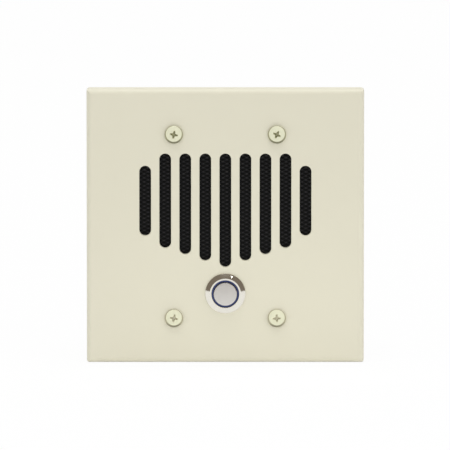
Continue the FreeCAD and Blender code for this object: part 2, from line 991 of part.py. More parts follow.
def pair_of_arcs(start, start_way, end, end_way):
    """Two arcs that join two points with given directions and meet smoothly."""
    span = end.sub(start)
    ways = start_way.add(end_way)
    a = 2 * start_way.dot(end_way) - 2
    b = -2 * span.dot(ways)
    c = span.dot(span)
    arm = (-b - math.sqrt(b * b - 4 * a * c)) / (2 * a)
    first = start.add(FreeCAD.Vector(start_way).multiply(arm))
    second = end.sub(FreeCAD.Vector(end_way).multiply(arm))
    middle = first.add(second).multiply(0.5)
    return [
        arc_through(start, FreeCAD.Vector(first), middle),
        arc_through(middle, FreeCAD.Vector(second), end),
    ]


def return_spring():
    """The coil between the cap's inner face and the guide."""
    start = cap_front + cap_face + spring_seat_gap + spring_wire_radius
    end = guide_start - spring_seat_gap - spring_wire_radius
    pitch = (end - start) / spring_turns

    def on_coil(turns):
        angle = 2 * math.pi * turns
        x = spring_radius * math.cos(angle)
        z = button_height + spring_radius * math.sin(angle)
        way = place(-math.sin(angle), pitch / (2 * math.pi * spring_radius), math.cos(angle))
        return place(x, start + pitch * turns, z), way.normalize()

    edges = []
    for k in range(4 * spring_turns):
        first, first_way = on_coil(k / 4)
        second, second_way = on_coil((k + 1) / 4)
        edges += pair_of_arcs(first, first_way, second, second_way)
    centre_line = Part.Wire(edges)
    first, first_way = on_coil(0)
    section = Part.Wire(Part.makeCircle(spring_wire_radius, first, first_way))
    spring = centre_line.makePipeShell([section], True, False)
    steps = [on_coil(k / 36)[0] for k in range(36 * spring_turns + 1)]
    gaps = [
        a.distanceToPoint(b) for i, a in enumerate(steps) for b in steps[i + 18:]
    ]
    print("return_spring: least gap to itself", round(min(gaps) - 2 * spring_wire_radius, 2), "mm")
    return spring


def led_board():
    outer = bushing_bore_radius - led_board_clearance
    return ring(outer, collar_radius + collar_clearance, guide_back, led_board_back, 0, button_height)


def ring_leds():
    """The small lamps on the board, each behind the light ring's edge."""
    low = ring_inner_radius + led_radial_gap
    high = ring_outer_radius - led_radial_gap
    half = led_width / 2
    lamps = []
    for k in range(led_count):
        lamp = block(low, high, guide_back - led_height, guide_back, button_height - half, button_height + half)
        lamps.append(turn(lamp, (k + 0.5) * 360 / led_count, 0, button_height))
    return group(lamps)


def switch_base():
    """The plastic body of the switch, a plug in the bushing with a wider end behind it."""
    plug = bushing_bore_radius - base_clearance
    body = turned([
        (cavity_radius, led_board_back),
        (plug, led_board_back),
        (plug, bushing_back),
        (base_radius, bushing_back),
        (base_radius, base_back),
        (0, base_back),
        (0, cavity_floor),
        (cavity_radius, cavity_floor),
    ], 0, button_height)
    for x, z in blade_places():
        body = body.cut(blade(x, z, cavity_floor - 1, base_back + 1))
    for x, z in lamp_pin_places():
        body = body.cut(rod(lamp_pin_radius, led_board_back - 1, base_back + 1, x, z))
    return body


def blade_places():
    return [(side * terminal_spacing / 2, button_height) for side in (-1, 1)]


def lamp_pin_places():
    radius = (cavity_radius + bushing_bore_radius - base_clearance) / 2
    return [(0, button_height + side * radius) for side in (-1, 1)]


def blade(x, z, y_low, y_high):
    half_width = blade_width / 2
    half_thickness = blade_thickness / 2
    return block(x - half_thickness, x + half_thickness, y_low, y_high, z - half_width, z + half_width)


def switch_terminals():
    """Two contact blades with round heads in the cavity, and two pins that feed the lamps."""
    terminals = []
    for x, z in blade_places():
        head = rod(contact_head_radius, cavity_floor - contact_head_radius - contact_thickness, cavity_floor, x, z)
        terminals.append(head.fuse(blade(x, z, cavity_floor - contact_thickness, terminal_end)).removeSplitter())
    for x, z in lamp_pin_places():
        terminals.append(rod(lamp_pin_radius, led_board_back, terminal_end, x, z))
    return group(terminals)


def moving_contact():
    """The bridge on the plunger's end that joins both contact heads when the button is pressed."""
    low = plunger_end()
    half_length = contact_length / 2
    z_low = button_height - contact_width / 2
    return block(-half_length, half_length, low, low + contact_thickness, z_low, z_low + contact_width)


def wire_between(name, points, radius):
    """A wire of straight runs joined by tangent arcs, as large as the runs allow."""
    points = [place(*p) for p in points]
    edges = []
    start = points[0]
    radii = []
    for before, corner, after in zip(points, points[1:], points[2:]):
        into = corner.sub(before)
        out = after.sub(corner)
        setback = 0.45 * min(into.Length, out.Length)
        bend = into.getAngle(out)
        radii.append(round(setback / math.tan(bend / 2), 1))
        arc_start = corner.sub(FreeCAD.Vector(into).normalize().multiply(setback))
        arc_end = corner.add(FreeCAD.Vector(out).normalize().multiply(setback))
        edges.append(Part.LineSegment(start, arc_start).toShape())
        edges.append(arc_through(arc_start, FreeCAD.Vector(corner), arc_end))
        start = arc_end
    edges.append(Part.LineSegment(start, points[-1]).toShape())
    path = Part.Wire(edges)
    way = points[1].sub(points[0]).normalize()
    section = Part.Wire(Part.makeCircle(radius, points[0], way))
    tube = path.makePipeShell([section], True, False)
    share = tube.Volume / (math.pi * radius ** 2 * path.Length)
    print(name, "radii", radii, "length", round(path.Length, 1), "volume share", round(share, 4))
    return tube


def speaker_leads():
    """Two wires from the loudspeaker's lugs to the front of the board."""
    low = floor_back + strip_thickness + lug_thickness
    first_bend, second_bend = [low + share * (board_front - low) for share in lead_bends]
    x = lug_end() - lug_width / 2
    end_x = x + speaker_lead_shift
    leads = []
    for side, z in zip((-1, 1), lug_heights()):
        end_z = speaker_height + side * speaker_lead_spacing / 2
        leads.append(wire_between("speaker_leads", [
            (x, low, z),
            (x, first_bend, z),
            (end_x, second_bend, end_z),
            (end_x, board_front, end_z),
        ], lead_radius))
    return group(leads)


def microphone_leads():
    """Two wires from the microphone's pins to the front of the board."""
    x, z = microphone_place()
    low = cloth_back + boot_front + capsule_length + capsule_pin_length
    first_bend, second_bend = [low + share * (board_front - low) for share in lead_bends]
    end_z = z - microphone_lead_drop
    leads = []
    for side in (-1, 1):
        pin_x = x + side * capsule_pin_spacing / 2
        end_x = pin_x + microphone_lead_shift
        leads.append(wire_between("microphone_leads", [
            (pin_x, low, z),
            (pin_x, first_bend, z),
            (end_x, second_bend, end_z),
            (end_x, board_front, end_z),
        ], lead_radius))
    return group(leads)


def switch_leads():
    """Four wires from the switch's terminals to the header on the back of the board."""
    header_back = board_back + header_height
    header_z = header_middle()
    ends = [blade_places()[0], lamp_pin_places()[0], lamp_pin_places()[1], blade_places()[1]]
    leads = []
    for k, (x, z) in enumerate(ends):
        header_x = (k - (len(ends) - 1) / 2) * header_pin_spacing
        leads.append(wire_between("switch_leads", [
            (x, terminal_end, z),
            (x, terminal_end + lead_rise, z),
            ((x + header_x) / 2, header_back + lead_crown, (z + header_z) / 2),
            (header_x, header_back + lead_rise, header_z),
            (header_x, header_back, header_z),
        ], lead_radius))
    return group(leads)


parts = {
    "faceplate": faceplate(),
    "mounting_screws": mounting_screws(),
    "grille_mesh": grille_mesh(),
    "dust_cloth": dust_cloth(),
    "speaker_gasket": speaker_gasket(),
    "speaker_frame": speaker_frame(),
    "speaker_surround": speaker_surround(),
    "speaker_cone": speaker_cone(),
    "dust_cap": dust_cap(),
    "coil_former": coil_former(),
    "coil_winding": coil_winding(),
    "spider": spider(),
    "front_pole_plate": front_pole_plate(),
    "magnet": magnet(),
    "pole_piece": pole_piece(),
    "terminal_strip": terminal_strip(),
    "terminal_lugs": terminal_lugs(),
    "weld_studs": weld_studs(),
    "speaker_clips": speaker_clips(),
    "clip_nuts": small_nuts(flange_back + clip_sheet),
    "board_spacers": board_spacers(),
    "board_nuts": small_nuts(board_back),
    "circuit_board": circuit_board(),
    "terminal_block": terminal_block(),
    "terminal_screws": terminal_screws(),
    "amplifier_chip": amplifier_chip(),
    "chip_legs": chip_legs(),
    "capacitors": capacitors(),
    "trimmer_body": trimmer_body(),
    "trimmer_rotor": trimmer_rotor(),
    "lead_header": lead_header(),
    "microphone_boot": microphone_boot(),
    "microphone_capsule": microphone_capsule(),
    "button_housing": button_housing(),
    "button_seal": button_seal(),
    "button_washer": button_washer(),
    "button_nut": button_nut(),
    "light_ring": light_ring(),
    "button_cap": button_cap(),
    "button_plunger": button_plunger(),
    "plunger_guide": plunger_guide(),
    "return_spring": return_spring(),
    "led_board": led_board(),
    "ring_leds": ring_leds(),
    "moving_contact": moving_contact(),
    "switch_base": switch_base(),
    "switch_terminals": switch_terminals(),
    "speaker_leads": speaker_leads(),
    "microphone_leads": microphone_leads(),
    "switch_leads": switch_leads(),
}

os.makedirs("parts", exist_ok=True)
for name, shape in parts.items():
    shape.exportStep("parts/" + name + ".step")
print(len(parts), "nodes written")
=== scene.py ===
import json

import bmesh
import bpy
import numpy as np
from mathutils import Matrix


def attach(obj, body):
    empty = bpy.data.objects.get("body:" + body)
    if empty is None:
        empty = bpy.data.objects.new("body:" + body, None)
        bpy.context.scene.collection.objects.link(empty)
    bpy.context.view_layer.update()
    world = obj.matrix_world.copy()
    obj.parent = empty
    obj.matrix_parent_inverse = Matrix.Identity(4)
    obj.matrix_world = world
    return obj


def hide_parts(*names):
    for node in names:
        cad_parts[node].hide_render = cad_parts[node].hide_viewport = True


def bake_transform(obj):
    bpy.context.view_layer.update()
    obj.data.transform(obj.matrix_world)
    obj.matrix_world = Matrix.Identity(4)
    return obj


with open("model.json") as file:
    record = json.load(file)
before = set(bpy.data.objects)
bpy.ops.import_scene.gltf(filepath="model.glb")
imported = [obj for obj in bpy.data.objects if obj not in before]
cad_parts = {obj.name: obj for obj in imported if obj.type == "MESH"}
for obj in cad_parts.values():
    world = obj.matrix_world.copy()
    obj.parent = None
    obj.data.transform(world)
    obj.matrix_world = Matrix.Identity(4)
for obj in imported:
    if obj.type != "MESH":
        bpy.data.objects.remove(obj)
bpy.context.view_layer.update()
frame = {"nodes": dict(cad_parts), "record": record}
print("frame loaded:", len(frame["nodes"]), "nodes")

# Everything below is in millimetres: X to the right, Y into the wall, Z up. Only new meshes, lamps and the
# camera turn them into metres.
millimetre = 0.001
fullTurn = 2 * np.pi

# Planes across Y, from front to back
planes = {
    "rim": -8.35, "front": -6.35, "skin": -4.45, "screenBack": -4.05, "clothBack": -3.8,
    "speakerFront": -2.05, "flangeBack": -1.25, "basketBack": 6.75, "frontPoleBack": 8.75,
    "magnetBack": 14.75, "speakerBack": 16.95, "boardFront": 18.4, "boardBack": 20.0,
}
speakerHeight = 7.2
buttonHeight = -30.4
studPlaces = [(0.0, 38.7), (-18.067, -18.603), (18.067, -18.603)]


# A Python operator of a socket, which adds the node of that operation.
def joining(operation, swapped=False):
    return lambda flow, other: flow.join(operation, other, swapped=swapped)


# One socket of a node. Numbers are joined by Math nodes, colours and vectors by Vector Math nodes.
class Flow:
    def __init__(self, tree, socket):
        self.tree = tree
        self.socket = socket

    def join(self, operation, *others, swapped=False):
        terms = [*others, self] if swapped else [self, *others]
        if all(t.socket.type == "VALUE" for t in terms if isinstance(t, Flow)):
            return self.tree.add("ShaderNodeMath", {"operation": operation}, terms)
        terms = [t if isinstance(t, Flow) or not np.isscalar(t) else (t, t, t) for t in terms]
        return self.tree.add("ShaderNodeVectorMath", {"operation": operation}, terms)

    __add__, __radd__ = joining("ADD"), joining("ADD", True)
    __sub__, __rsub__ = joining("SUBTRACT"), joining("SUBTRACT", True)
    __mul__, __rmul__ = joining("MULTIPLY"), joining("MULTIPLY", True)
    __truediv__, __pow__ = joining("DIVIDE"), joining("POWER")

    def __abs__(self):
        return self.join("ABSOLUTE")

    def sine(self):
        return self.join("SINE")

    def cosine(self):
        return self.join("COSINE")


# A node tree under work. Every node apart from those of the sums comes from add().
class Tree:
    def __init__(self, owner):
        owner.use_nodes = True
        self.nodes = owner.node_tree.nodes
        self.links = owner.node_tree.links
        self.nodes.clear()

    def add(self, kind, settings=None, inputs=(), out=0):
        made = self.nodes.new(kind)
        for key, value in (settings or {}).items():
            setattr(made, key, value)
        pairs = inputs.items() if isinstance(inputs, dict) else enumerate(inputs)
        for key, value in pairs:
            socket = made.inputs[key]
            if isinstance(value, Flow):
                self.links.new(value.socket, socket)
            elif socket.type == "RGBA" and len(value) == 3:
                socket.default_value = (*value, 1.0)
            else:
                socket.default_value = value
        return Flow(self, made.outputs[out]) if made.outputs else made

    # Object coordinates in millimetres
    def place(self):
        return self.add("ShaderNodeTexCoord", out="Object") / millimetre

    def parts(self, vector):
        return [self.add("ShaderNodeSeparateXYZ", inputs=[vector], out=k) for k in range(3)]

    def noise(self, vector, size, detail):
        values = {"Vector": vector, "Scale": 1.0 / size, "Detail": detail}
        return self.add("ShaderNodeTexNoise", inputs=values)

    def mix(self, share, first, second):
        return self.add("ShaderNodeMix", {"data_type": "RGBA"}, {0: share, 6: first, 7: second}, out=2)

    # 0 below low, 1 above high and smooth between
    def step(self, value, low, high):
        values = {"Value": value, "From Min": low, "From Max": high}
        return self.add("ShaderNodeMapRange", {"interpolation_type": "SMOOTHSTEP"}, values)

    def end(self, surface, kind="Material"):
        self.add("ShaderNodeOutput" + kind, inputs={"Surface": surface})

    # 1 for the rays that see the background white
    def seen(self):
        camera, glossy, through = [self.add("ShaderNodeLightPath", out="Is %s Ray" % way)
                                   for way in ("Camera", "Glossy", "Transmission")]
        return camera.join("MAXIMUM", glossy).join("MAXIMUM", through)


# Camera, lamps and stage
shot = {"elevation": 9.9, "distance": 6000.0, "width": 201.2, "aim": (-0.15, planes["front"], 0.6),
        "sensor": 36.0, "reach": 60000.0}

# Way to each lamp, its distance, width, level, whether metal mirrors it, and its height over its width
lamps = {
    "glintLamp": ((0.395, -0.47, 0.789), 900.0, 46.0, 0.0085, True, 1.0),
    "topLamp": ((0.0, -0.1, 0.995), 4000.0, 3000.0, 0.44, True, 1.0),
    "frontLamp": ((0.0, -0.95, 0.3), 4000.0, 2400.0, 0.1, False, 1.0),
    "rightLamp": ((0.85, -0.5, 0.2), 4000.0, 1800.0, 0.055, False, 1.0),
    "lowLamp": ((0.067, -0.84, -0.538), 89.0, 180.0, 0.075, False, 0.12),
}
studio = {
    "white": (1.0, 1.0, 1.0), "skyLevel": 0.59, "floorLift": 0.92, "floorColour": (0.95, 0.95, 0.95),
    "floorHalf": 9000.0, "floorHeight": -62.05, "domeRadius": 1000.0, "domeColour": (0.218, 0.184, 0.15),
    "domeHalfAngle": 100.0, "domeTop": 76.0, "domeCells": (48, 24),
}


def placed(name, data):
    made = bpy.data.objects.new(name, data)
    bpy.context.scene.collection.objects.link(made)
    return made


# The camera stands back from the aim along (0, -cos e, sin e); the lens is sensor times distance over width.
def placeCamera():
    e = np.radians(shot["elevation"])
    data = bpy.data.cameras.new("photoCamera")
    data.sensor_width = shot["sensor"]
    data.lens = shot["sensor"] * shot["distance"] / shot["width"]
    data.clip_end = shot["reach"] * millimetre
    camera = placed("photoCamera", data)
    spot = np.array(shot["aim"]) + shot["distance"] * np.array([0.0, -np.cos(e), np.sin(e)])
    camera.location = spot * millimetre
    camera.rotation_euler = (np.pi / 2 - e, 0.0, 0.0)
    bpy.context.scene.camera = camera


# Power is level times pi squared times distance squared, so that a white face sends back about that level.
def placeLamp(name, toward, distance, size, level, glossy, flat):
    data = bpy.data.lights.new(name, "AREA")
    data.shape = "ELLIPSE"
    data.size = size * millimetre
    data.size_y = size * flat * millimetre
    data.energy = level * np.pi ** 2 * (distance * millimetre) ** 2
    lamp = placed(name, data)
    way = np.array(toward) / np.linalg.norm(toward)
    lamp.location = way * distance * millimetre
    lamp.rotation_euler = (np.arccos(way[2]), 0.0, np.arctan2(way[0], -way[1]))
    lamp.visible_glossy = glossy
    lamp.visible_camera = False


# A mesh in metres from points in millimetres
def newMesh(name, points, faces, materials):
    mesh = bpy.data.meshes.new(name)
    mesh.from_pydata((np.asarray(points, float) * millimetre).tolist(), [], faces)
    for material in materials:
        mesh.materials.append(material)
    return mesh


# A piece of the stage, with the tree of a material of its own
def stagePiece(name, points, quads):
    material = bpy.data.materials.new(name)
    made = placed(name, newMesh(name, points, quads, [material]))
    return made, Tree(material)


# The four corners of each cell of a table of point numbers
def cellsOf(index):
    return np.stack([index[:-1, :-1], index[:-1, 1:], index[1:, 1:], index[1:, :-1]], -1).reshape(-1, 4)


# Part of a sphere in front of the object, dark as the room behind the camera; only glossy rays meet it.
def placeDome():
    half, top = np.radians(studio["domeHalfAngle"]), np.radians(studio["domeTop"])
    across, up = studio["domeCells"]
    a, e = np.meshgrid(np.linspace(-half, half, across + 1), np.linspace(0.0, top, up + 1))
    points = np.stack([np.sin(a) * np.cos(e), -np.cos(a) * np.cos(e), np.sin(e)], -1) * studio["domeRadius"]
    points[..., 2] += studio["floorHeight"]
    quads = cellsOf(np.arange(a.size).reshape(a.shape))
    dome, tree = stagePiece("darkRoom", points.reshape(-1, 3), quads.tolist())
    tree.end(tree.add("ShaderNodeEmission", inputs={"Color": studio["domeColour"]}))
    dome.visible_camera = dome.visible_diffuse = dome.visible_shadow = dome.visible_transmission = False


# A matt floor and a world that give an even light, and that the camera, metal and glass see as white
def placeStage():
    s, h = studio["floorHalf"], studio["floorHeight"]
    _, tree = stagePiece("floor", [(-s, -s, h), (s, -s, h), (s, s, h), (-s, s, h)], [(0, 1, 2, 3)])
    matt = tree.add("ShaderNodeBsdfDiffuse", inputs={"Color": studio["floorColour"]})
    glow = tree.add("ShaderNodeEmission", inputs={"Color": studio["white"]})
    tree.end(tree.add("ShaderNodeMixShader", inputs=[tree.seen() * studio["floorLift"], matt, glow]))
    placeDome()

    world = bpy.data.worlds.new("studio")
    bpy.context.scene.world = world
    tree = Tree(world)
    light, white = [tree.add("ShaderNodeBackground", inputs={"Color": studio["white"], "Strength": level})
                    for level in (studio["skyLevel"], 1.0)]
    tree.end(tree.add("ShaderNodeMixShader", inputs=[tree.seen(), light, white]), "World")


placeCamera()
for lampName, lampValues in lamps.items():
    placeLamp(lampName, *lampValues)
placeStage()
bpy.context.scene.view_settings.view_transform = "Standard"
print("camera, lamps and stage placed")


# Finishes. Grain and turning lines change the roughness by low + span times their own height.
gloss = {"grain": (0.8, 0.4), "rings": (0.75, 0.5), "cloudDetail": 3.0, "ringDetail": 4.0}


def shaded(colour, share):
    return tuple(min(c * share, 1.0) for c in colour)


# Colour wanders by a cloud of tone[0] mm and tone[1] share, height by a grain of grain[0] mm and grain[1] mm.
# rings is (x, z, pitch, depth) for turning lines about a line along Y.
def finish(name, base, rough, tone, grain, stretch=(1, 1, 1), rings=None, extra=None, **sockets):
    material = bpy.data.materials.new(name)
    tree = Tree(material)
    where = tree.place()
    cloud, fine = [tree.noise(where * stretch, size, gloss["cloudDetail"]) for size in (tone[0], grain[0])]
    colour = tree.mix(cloud, shaded(base, 1 - tone[1]), shaded(base, 1 + tone[1]))
    roughness = rough * (gloss["grain"][0] + gloss["grain"][1] * fine)
    height = fine * grain[1]
    if rings:
        x, _, z = tree.parts(where - (rings[0], 0.0, rings[1]))
        reach = (x * x + z * z) ** 0.5
        band = tree.add("ShaderNodeCombineXYZ", inputs=[reach, 0.0, 0.0])
        lines = tree.noise(band, rings[2], gloss["ringDetail"])
        height = height + lines * rings[3]
        roughness = roughness * (gloss["rings"][0] + gloss["rings"][1] * lines)
    if extra:
        colour, roughness, height = extra(tree, where, colour, roughness, height)
    bump = tree.add("ShaderNodeBump", inputs={"Height": height, "Distance": millimetre, "Strength": 1.0})
    values = {"Base Color": colour, "Roughness": roughness, "Normal": bump, **sockets}
    tree.end(tree.add("ShaderNodeBsdfPrincipled", inputs=values))
    return material


# Over and under of a plain weave: the size of two crossed sine ridges, as wide as the thread pitch in mm.
def weave(pitch, depth, dark):
    def add(tree, where, colour, roughness, height):
        x, _, z = tree.parts(where * (np.pi / pitch))
        lift = abs(x.sine() * z.cosine())
        return tree.mix(lift, dark, colour), roughness, height + lift * depth
    return add


boardCore = {"edge": (0.42, 0.36, 0.17), "edgeDepth": (0.76, 0.79), "edgeRough": 0.35,
             "cloth": (0.035, 0.22, 0.09), "clothShare": 0.25, "clothPitch": 0.9, "clothLift": 0.002}


# The board's own colours: tan glass cloth on its cut edges, and a faint cloth pattern under the green.
def boardLook(tree, where, colour, roughness, height):
    b = boardCore
    x, y, z = tree.parts(where)
    middle = (planes["boardFront"] + planes["boardBack"]) / 2
    edge = 1.0 - tree.step(abs(y - middle), *b["edgeDepth"])
    turn = fullTurn / b["clothPitch"]
    cloth = abs((x * turn).sine() * (z * turn).sine())
    green = tree.mix(cloth * b["clothShare"], colour, b["cloth"])
    height = height + cloth * b["clothLift"]
    return tree.mix(edge, green, b["edge"]), roughness + edge * b["edgeRough"], height


# Mounting screws, first the x, z and turn in degrees of each
screws = {
    "places": [(-23.02, 41.67, 12.0), (23.02, 41.67, 25.0), (-23.02, -41.67, 12.0), (23.02, -41.67, -3.0)],
    "radius": 4.05, "face": 3.4, "height": 2.0, "dome": 0.5, "edge": 0.85, "cells": 64,
    "skirt": [(0.0, 0.35), (0.1, 0.5), (0.3, 0.85)],
    # Cross recess: reach and run-out of its arms, half width and how it narrows, walls, corners and depth
    "span": 1.9, "taper": 1.0, "half": 0.6, "flare": 0.13, "wall": 0.14, "ease": 0.35, "depth": 1.5,
    "recessShift": 0.12, "neck": 1.45, "step": 0.2,
    "thread": {"radius": 1.75, "end": 19.05, "pitch": 0.794, "depth": 0.32, "point": 0.6, "perTurn": 7},
    # Paint and the zinc beside it, with the shift of the paint disc and the darkening that paint shade under
    # each head
    "paint": 3.55, "shadowPaintShift": 0.45, "paintEdge": 0.06, "paintDepth": 0.25, "depthEdge": 0.08,
    "rimZinc": [(0.44, 0.41, 0.27), (0.36, 0.345, 0.2)], "rimStart": (2.4, 3.0), "bottomShadeRange": (-3.2, -1.5),
    "bottomShadeShare": 0.56, "recessZinc": [(0.66, 0.63, 0.48), (0.44, 0.43, 0.25)], "zincRough": 0.1,
}


# Paint on each screw is a disc whose centre lies above the screw's own, down to the edge of the recess, so
# the bare zinc ring is widest at the bottom of each head: a painted shadow under the head. The zinc is also
# darker towards the bottom of each head, which is painted shade, and darker on the upper two screws.
def paintedFrontAndShade(tree, where, colour, roughness, height):
    s = screws
    x, y, z = tree.parts(where)
    dx = abs(x) - s["places"][1][0]
    dz = z - z.join("SIGN") * s["places"][1][1]
    reach = dx * dx + dz * dz
    # The paint disc sits above the screw's centre, which paints a shadow under each head as wider bare zinc.
    up = dz - s["shadowPaintShift"]
    away = (dx * dx + up * up) ** 0.5
    face = planes["front"] - s["height"] + reach * (s["dome"] / s["face"] ** 2)
    bare = tree.step(away, s["paint"] - s["paintEdge"], s["paint"] + s["paintEdge"])
    sunk = tree.step(y - face, s["paintDepth"] - s["depthEdge"], s["paintDepth"] + s["depthEdge"])
    upper = tree.step(z, -1.0, 1.0)
    rim = tree.mix(upper, *s["rimZinc"])
    # Painted shade: the zinc darkens towards the bottom of each head.
    rim = tree.mix(tree.step(dz, *s["bottomShadeRange"]), rim * s["bottomShadeShare"], rim)
    zinc = tree.mix(tree.step(reach ** 0.5, *s["rimStart"]), tree.mix(upper, *s["recessZinc"]), rim)
    share = bare.join("MAXIMUM", sunk)
    return tree.mix(share, colour, zinc), roughness + share * s["zincRough"], height


# Screen: the pattern's pitches and place, then half sizes of an opening, and the outline, which is level at
# bottom out to middle and rises from there to low at its sides
screen = {
    "longWay": 3.525, "shortWay": 1.835, "shiftX": 0.75, "shiftZ": 7.9, "reach": 60,
    "openLong": 1.12, "openShort": 0.5, "power": 1.5, "steps": 12, "thickness": 0.2, "tilt": 0.07,
    "side": 43.94, "low": -6.91, "middle": 8.96, "bottom": -20.16, "top": 35.95, "clearance": 2.0,
    # The colour below paints a highlight on the flat bonds between the openings.
    "bond": (0.031, 0.031, 0.033), "bondStart": 0.4,
}


# The flat bonds between the screen's openings get a painted highlight: two cosines with its pitches multiply
# to 1 there, and to -1 in the middle of each opening.
def bondHighlights(tree, where, colour, roughness, height):
    s = screen
    x, _, z = tree.parts(where - (s["shiftX"], 0.0, s["shiftZ"]))
    waves = (x * (fullTurn / s["longWay"])).cosine() * (z * (fullTurn / s["shortWay"])).cosine()
    return tree.mix(tree.step(waves, s["bondStart"], 1.0), colour, s["bond"]), roughness, height


# Marks where a cloud of the given size and detail rises past limits: they take share of a colour, and change
# the roughness and the height.
def marked(size, detail, limits, share, mark, rougher, lift):
    def add(tree, where, colour, roughness, height):
        marks = tree.step(tree.noise(where, size, detail), *limits)
        return tree.mix(marks * share, colour, mark), roughness + marks * rougher, height + marks * lift
    return add


# Steel that shows where a black coat has rubbed thin, and pale scratches of ground ferrite
wornCoat = marked(2.2, 5.0, (0.66, 0.74), 0.5, (0.16, 0.155, 0.15), -0.1, 0.0)
grindingMarks = marked(0.35, 6.0, (0.6, 0.7), 0.4, (0.14, 0.14, 0.145), 0.2, -0.01)
metal = {"Metallic": 1.0}


def coat(weight, roughness):
    return {"Coat Weight": weight, "Coat Roughness": roughness}


